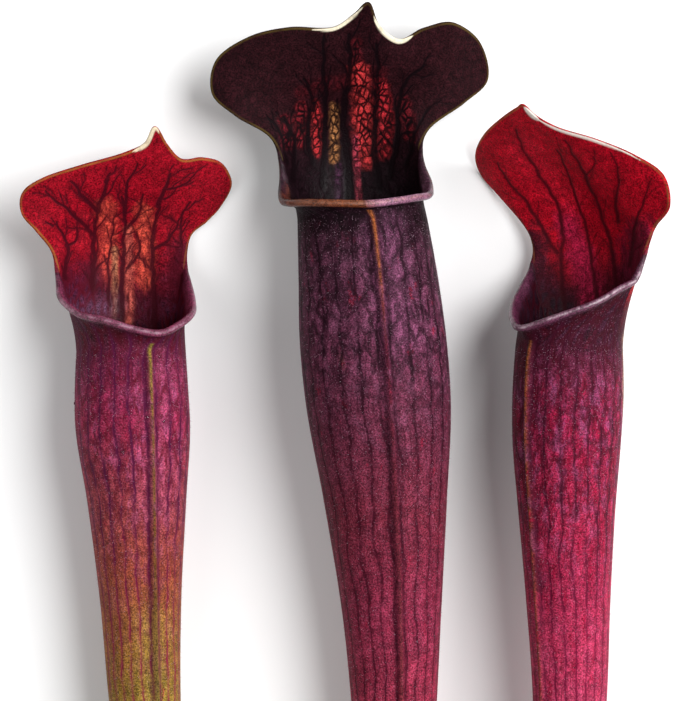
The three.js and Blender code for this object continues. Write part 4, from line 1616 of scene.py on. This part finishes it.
LEFT_FINISH = LeafFinish(
    name="crimson_leaf_with_mauve_bloom",
    seed=11,
    tube=(
        (-330, "5E6B30"), (-200, "6F7430"), (-128, "76641E"), (-104, "7C6624"), (-84, "845828"),
        (-62, "8E4432"),
        # The darkest stops, at the top just under the lip, are partly the skin's own colour and partly
        # painted shade under the lip
        (-40, "943E46"), (-20, "942A4A"), (-4, "6A223E"), (4, "38161F"), (14, "30141E"),
    ),
    bare="8E1834",
    bloom="8C4468",
    bare_share=0.6,
    bare_from=0.6,
    lid="8C0C1C",
    back="7E3C28",
    throat="34101F",
    hollow="2A101C",
    lip="6C2C46",
    # Painted highlight along the lip's crest
    lip_glint_and_keel_ridge="C09AAC",
    keel=(
        (-330, "5E6630"), (-110, "5E5226"), (-60, "60401E"), (-20, "644820"), (0, "746426"), (12, "70702A"),
    ),
    vein="380813",
    tube_vein="4A1232",
    low_vein="7C1638",
    net="520A18",
    margin="96602C",
    pale="E2D2B4",
    patches=(
        Patch("D04A3C", ((-69.8, 40.9), (-69.8, 21.8)), 2.5, 0.85),
        Patch("B8805C", ((-68.0, 29.1), (-68.0, 11.6)), 0.9, 0.8),
        Patch("D86456", ((-63.9, 34.7), (-63.8, 9.3)), 1.2, 0.85),
        Patch("DC5442", ((-59.2, 39.9), (-59.2, 20.2)), 2.2, 0.85),
        Patch("B41E2C", ((-76.0, 37.6), (-76.7, 31.7)), 2.4, 0.6),
        Patch("B41E2C", ((-52.3, 37.6),), 2.6, 0.6),
        Patch("7E5270", ((-80.9, 13.3), (-74.0, 11.3), (-68.1, 13.3)), 3.0, 0.5),
        Patch("5E2A44", ((-58.9, 11.3), (-50.4, 12.0)), 2.2, 0.5),
        Patch("3C162C", ((-79.0, 17.0), (-75.0, 20.0)), 5.0, 0.8),
        Patch("4A1A2C", ((-49.0, 19.0), (-47.0, 27.0)), 5.0, 0.8),
        # A painted glint at the lip's left corner
        Patch("B4A0B4", ((-80.5, 5.5),), 1.6, 0.5, Part.LIP),
        Patch("C05A80", ((-53.5, -6.0), (-54.5, -45.0)), 4.5, 0.35, Part.TUBE, 1.0),
        Patch("9A8A3C", ((-56.0, -78.0), (-57.0, -115.0)), 4.5, 0.35, Part.TUBE, 1.0),
    ),
    veins=(
        Vein(0.62, ((-81.6, 20.5), (-81.3, 30.0), (-82.6, 33.7), (-84.2, 36.9))),
        Vein(0.42, ((-81.3, 30.0), (-78.5, 31.7), (-78.3, 35.0))),
        Vein(0.95, ((-74.4, 17.9), (-73.8, 26.4), (-73.7, 33.0), (-72.7, 39.6))),
        Vein(0.7, ((-72.7, 39.6), (-75.3, 42.9), (-78.0, 46.1), (-79.9, 48.4))),
        Vein(0.7, ((-72.7, 39.6), (-70.4, 45.5), (-69.4, 48.8), (-68.4, 50.7))),
        Vein(0.6, ((-73.7, 33.0), (-76.7, 36.3), (-79.3, 38.9), (-81.6, 41.2), (-84.5, 42.9), (-86.5, 45.5))),
        Vein(0.42, ((-69.4, 13.3), (-69.8, 23.8), (-69.1, 29.1), (-68.4, 34.3), (-67.5, 39.6))),
        Vein(0.85, ((-66.1, 9.3), (-65.8, 19.9), (-65.4, 26.4), (-65.2, 31.7), (-64.8, 37.6), (-65.5, 44.2))),
        Vein(0.55, ((-65.0, 37.6), (-64.2, 42.9), (-63.5, 48.1), (-61.5, 51.4), (-60.9, 53.4))),
        Vein(0.5, ((-64.8, 35.0), (-61.5, 37.6), (-59.9, 41.5), (-59.2, 44.8))),
        Vein(0.42, ((-64.8, 23.8), (-60.9, 27.7), (-61.5, 34.3))),
        Vein(0.3, ((-60.9, 28.1), (-58.9, 23.8))),
        Vein(0.9, ((-56.3, 6.7), (-56.9, 15.9), (-56.9, 23.8), (-56.9, 30.4), (-56.3, 37.6), (-55.0, 41.5))),
        Vein(0.7, ((-55.0, 41.5), (-53.0, 46.8), (-51.0, 50.7))),
        Vein(0.5, ((-56.6, 29.1), (-53.0, 31.7), (-49.7, 36.3), (-48.4, 39.6))),
        Vein(
            0.55, ((-48.1, 13.3), (-48.4, 25.1), (-48.5, 30.4), (-48.7, 34.3), (-48.4, 39.6),
            (-45.8, 42.9)),
        ),
        Vein(0.36, ((-53.7, 46.1), (-49.7, 46.8), (-45.8, 48.8))),
        Vein(0.36, ((-85.2, 35.6), (-87.2, 36.9))),
    ),
    pale_spans=((-12.0, 2.0, 0.8),),
    vein_stripe_and_lane_shade=0.95,
    lid_net=0.62,
    drops=(
        (-77.8, -2.1, 0.7), (-78.6, -15.1, 0.6), (-73.5, -18.1, 0.5), (-62.0, -17.3, 0.55),
        (-62.0, -18.0, 0.4),
        (-57.4, -16.7, 0.5), (-57.6, -19.0, 0.6), (-52.9, -20.1, 0.55), (-64.2, -28.7, 0.6),
        (-69.7, -11.6, 0.5),
        (-61.7, -2.1, 0.5), (-70.0, -1.6, 0.45), (-54.0, -1.9, 0.5), (-74.3, -41.9, 0.5), (-50.9, -43.3, 0.5),
    ),
)

MIDDLE_FINISH = LeafFinish(
    name="near_black_leaf_with_purple_bloom",
    seed=23,
    tube=(
        (-330, "5E6B34"), (-230, "7A5E3C"), (-180, "824438"), (-150, "8E343C"), (-97, "8A2A40"),
        (-77, "802840"),
        # The darkest stops, at the top just under the lip, are partly the skin's own colour and partly
        # painted shade under the lip
        (-48, "6C2434"), (-20, "642A3E"), (9, "66324A"), (28, "522C3E"), (36, "1A0D13"),
    ),
    bare="841C34",
    bloom="704058",
    bare_share=0.8,
    bare_from=0.605,
    lid="270D12",
    back="4A2A1E",
    throat="1A0C12",
    hollow="140A10",
    lip="3A1E2C",
    # Painted highlight along the lip's crest
    lip_glint_and_keel_ridge="A06E58",
    keel=((-330, "6A6238"), (-150, "6A2A2E"), (0, "4A1424"), (14, "5E2620"), (24, "7C4222"), (38, "8A4C24")),
    vein="0C0407",
    tube_vein="1C0812",
    low_vein="3A0A1A",
    net="0E0508",
    margin="5A4A22",
    pale="E8DCC2",
    patches=(
        Patch("641820", ((1.6, 88.0), (2.4, 79.0)), 1.5, 0.6),
        Patch("5A141C", ((-14.0, 73.5), (-10.0, 75.5), (9.0, 79.5)), 1.6, 0.4),
        Patch("A06A40", ((-4.4, 70.0), (-4.6, 55.0)), 1.1, 0.85),
        Patch("4A2440", ((-3.4, 53.3), (-2.9, 43.8)), 1.0, 0.7),
        Patch("C8383A", ((2.6, 79.8), (3.7, 68.2), (4.4, 56.0)), 2.3, 0.85),
        Patch("A83A4C", ((1.6, 61.5), (2.5, 43.0)), 0.8, 0.8),
        Patch("B02830", ((9.0, 76.0), (10.6, 66.5), (10.0, 57.4)), 1.7, 0.85),
        Patch("B02C30", ((-9.7, 70.3), (-9.7, 57.1)), 1.2, 0.85),
        Patch("7A1C24", ((-14.0, 69.7), (-14.4, 60.0)), 1.5, 0.8),
        Patch("6A1822", ((-19.0, 66.0), (-17.6, 59.5)), 1.5, 0.75),
        Patch("6A1820", ((15.6, 71.0), (17.6, 62.0)), 1.7, 0.75),
        Patch("6A3418", ((-15.0, 42.5), (5.0, 41.5)), 4.0, 0.95, Part.LIP),
        Patch("8E6078", ((10.0, 42.0), (19.0, 43.5)), 4.0, 0.9, Part.LIP),
        Patch("82486A", ((10.0, 32.0), (12.0, 18.0), (15.0, 4.0)), 5.5, 0.45, Part.TUBE),
        Patch("5A3A22", ((-2.3, -1.3),), 1.1, 1.0, Part.TUBE),
    ),
    veins=(
        Vein(0.8, ((-16.6, 48.8), (-16.6, 62.0), (-19.1, 67.0))),
        Vein(0.8, ((-10.8, 53.7), (-12.4, 64.5), (-10.8, 72.8), (-13.3, 77.8))),
        Vein(0.85, ((-8.3, 47.1), (-7.3, 60.4), (-7.0, 71.1), (-7.5, 83.6), (-7.0, 91.0))),
        Vein(1.3, ((0.0, 43.8), (-1.2, 58.7), (-1.7, 71.1), (0.0, 79.4), (-0.4, 90.2))),
        Vein(0.95, ((8.3, 47.1), (7.0, 60.4), (7.5, 71.1), (7.9, 80.3), (7.5, 87.7))),
        Vein(0.9, ((11.6, 50.4), (13.7, 62.9), (13.7, 71.1), (16.6, 77.8), (21.5, 81.9))),
        Vein(0.6, ((-18.2, 53.7), (-20.3, 62.9), (-23.6, 67.0))),
        Vein(0.6, ((16.6, 53.7), (19.1, 63.7), (23.2, 70.3))),
    ),
    pale_spans=((-20.0, -3.0, 0.6), (4.0, 21.0, 0.85)),
    lid_net=1.0,
    lid_cells=(60.0, 34.0),
    vein_stripe_and_lane_shade=0.9,
    margin_share=0.6,
)

RIGHT_FINISH = LeafFinish(
    name="crimson_leaf_with_pink_bloom",
    seed=37,
    tube=(
        (-330, "6E6B3C"), (-230, "8E6050"), (-180, "9C4854"), (-130, "AA445E"), (-94, "A63250"),
        (-66, "9C2646"),
        # The darkest stops, at the top just under the lip, are partly the skin's own colour and partly
        # painted shade under the lip
        (-43, "9C2242"), (-20, "8A2042"), (-6, "6A2640"), (2, "341422"), (10, "240E18"),
    ),
    bare="8A1030",
    bloom="8C4870",
    bare_share=0.75,
    bare_from=0.55,
    lid="A60A1E",
    back="6E2A22",
    throat="2C1420",
    hollow="1E0C14",
    lip="582A42",
    # Painted highlight along the lip's crest
    lip_glint_and_keel_ridge="E4D0D8",
    keel=((-330, "6E6B3C"), (-120, "6E342E"), (-60, "6E3228"), (0, "74401F"), (12, "744422")),
    vein="32060F",
    tube_vein="380A1C",
    low_vein="620C2C",
    net="3A0612",
    margin="8E5834",
    pale="F0E6DC",
    patches=(
        Patch("B42048", ((62.4, 37.6), (65.4, 29.6), (67.2, 23.3), (69.1, 14.8)), 3.2, 0.75),
        Patch("CC1A30", ((48.0, 58.0), (55.3, 50.6), (62.0, 42.0)), 4.0, 0.5),
        # Dark purple-black zones low on the lid, under its lobes: partly the lid's own colour, partly painted
        # shade under the lobes
        Patch("2A1420", ((52.0, 31.0), (54.0, 22.0), (57.0, 14.0)), 5.0, 0.9),
        Patch("40142A", ((83.0, 33.0), (80.0, 22.0)), 4.5, 0.7),
        # A dark maroon strip on the tube's left flank beside the wing: partly its own colour, partly painted
        # shade on the side turned from the light
        Patch(
            "4E1820", ((49.1, 3.6), (49.1, -12.7), (49.7, -28.4), (52.0, -52.0),
            (53.2, -68.4)), 1.5, 0.75, Part.TUBE,
        ),
        Patch("C09A78", ((78.0, 5.3), (78.4, -37.0), (78.0, -77.0)), 0.5, 0.7, Part.TUBE),
    ),
    veins=(
        Vein(
            1.0, ((61.5, 13.0), (60.9, 22.6), (61.2, 32.4), (60.2, 40.1), (57.4, 45.7), (53.2, 52.0),
            (49.0, 59.0), (46.9, 63.2)),
        ),
        Vein(
            0.8, ((71.5, 11.5), (70.4, 21.1), (69.3, 28.1), (67.9, 34.6), (64.9, 43.0), (62.0, 51.0),
            (59.0, 57.0)),
        ),
        Vein(
            0.9, ((76.3, 14.0), (75.6, 24.0), (73.8, 33.8), (70.7, 42.2), (67.2, 49.2), (63.7, 55.5),
            (60.9, 59.7)),
        ),
        Vein(0.7, ((76.3, 36.6), (75.6, 43.6), (75.9, 50.6), (73.5, 56.2))),
        Vein(0.85, ((59.5, 28.2), (55.3, 35.2), (51.1, 42.2), (46.2, 47.8), (42.0, 54.1))),
        Vein(0.7, ((80.0, 24.0), (80.5, 32.4), (82.6, 40.8), (84.7, 48.5))),
        Vein(0.4, ((67.2, 49.2), (68.9, 52.7), (69.3, 57.6))),
        Vein(0.36, ((69.3, 24.0), (72.1, 29.6))),
    ),
    pale_spans=((1.0, 8.0, 0.75), (6.0, 40.0, 0.4)),
    branch_gap=7.0,
    vein_softness=1.15,
    vein_stripe_and_lane_shade=0.9,
    lid_net=0.4,
)


@dataclass
class Studio:
    """The pale floor, the soft light and the camera."""

    view_width: float = 0.2003
    view_distance: float = 1.6
    focus: tuple[float, float, float] = (0.0019, 0.1575, 0.02)
    sensor: float = 36.0
    surround: float = 0.22

    def floor(self) -> None:
        """A plain pale floor that the plant lies on."""
        bpy.ops.mesh.primitive_plane_add(size=6, location=(0, 0, -0.00002))
        floor = bpy.context.object
        floor.name = "pale_floor"
        material, add = fresh_tree("matte_white_board")
        matte = {"Roughness": 0.9, "Specular IOR Level": 0.1}
        shader = add("BsdfPrincipled", (0.93, 0.93, 0.93, 1), named=matte)
        add("OutputMaterial", shader)
        floor.data.materials.append(material)

    def light(self) -> None:
        """A dim white surround, a large soft light above on the right and a weaker one on the left."""
        world = bpy.data.worlds.new("soft_surround")
        bpy.context.scene.world = world
        world.use_nodes = True
        ground = world.node_tree.nodes["Background"]
        ground.inputs["Color"].default_value = (1.0, 1.0, 1.0, 1)
        ground.inputs["Strength"].default_value = self.surround
        self.lamp("window_light", (1.0, 0.45, 1.15), 1.5, 44.0)
        self.lamp("fill_light", (-0.9, 0.0, 1.2), 1.2, 7.0)
        bpy.context.scene.view_settings.view_transform = "Standard"

    @staticmethod
    def lamp(name: str, place: tuple[float, float, float], size: float, power: float) -> None:
        """Hangs a round soft light that shines on the lids.

        Args:
            name: the lamp's name.
            place: where it hangs, in metres.
            size: its diameter in metres.
            power: its power in watts.
        """
        data = bpy.data.lights.new(name, "AREA")
        data.shape, data.size, data.energy = "DISK", size, power
        lamp = bpy.data.objects.new(name, data)
        lamp.location = place
        aim = Vector((0, 0.12, 0)) - lamp.location
        lamp.rotation_euler = aim.to_track_quat("-Z", "Y").to_euler()
        bpy.context.scene.collection.objects.link(lamp)

    def camera(self) -> None:
        """A camera straight above, with the lids at the top of its picture."""
        data = bpy.data.cameras.new("camera")
        data.sensor_width = self.sensor
        data.lens = self.sensor * self.view_distance / self.view_width
        data.clip_end = 20
        camera = bpy.data.objects.new("camera", data)
        x, y, z = self.focus
        camera.location = (x, y, z + self.view_distance)
        bpy.context.scene.collection.objects.link(camera)
        bpy.context.scene.camera = camera


def report(piece: bpy.types.Object) -> None:
    """Logs a finished piece."""
    log.info("%s: %d faces", piece.name, len(piece.data.polygons))


def main() -> None:
    """Builds the pieces in order."""
    logging.basicConfig(level=logging.INFO, format="%(message)s")
    bpy.ops.object.select_all(action="DESELECT")
    studio = Studio()
    studio.camera()
    for sizes, finish in ((LEFT, LEFT_FINISH), (MIDDLE, MIDDLE_FINISH), (RIGHT, RIGHT_FINISH)):
        leaf = PitcherLeaf(sizes, finish)
        piece = leaf.build()
        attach(piece, "root")
        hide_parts(sizes.node)
        report(piece)
        for extra in leaf.extras():
            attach(extra, "root")
            report(extra)
    bark = Bark().build()
    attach(bark, "root")
    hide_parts(Bark.node)
    report(bark)
    studio.floor()
    studio.light()


if __name__ == "__main__":
    main()
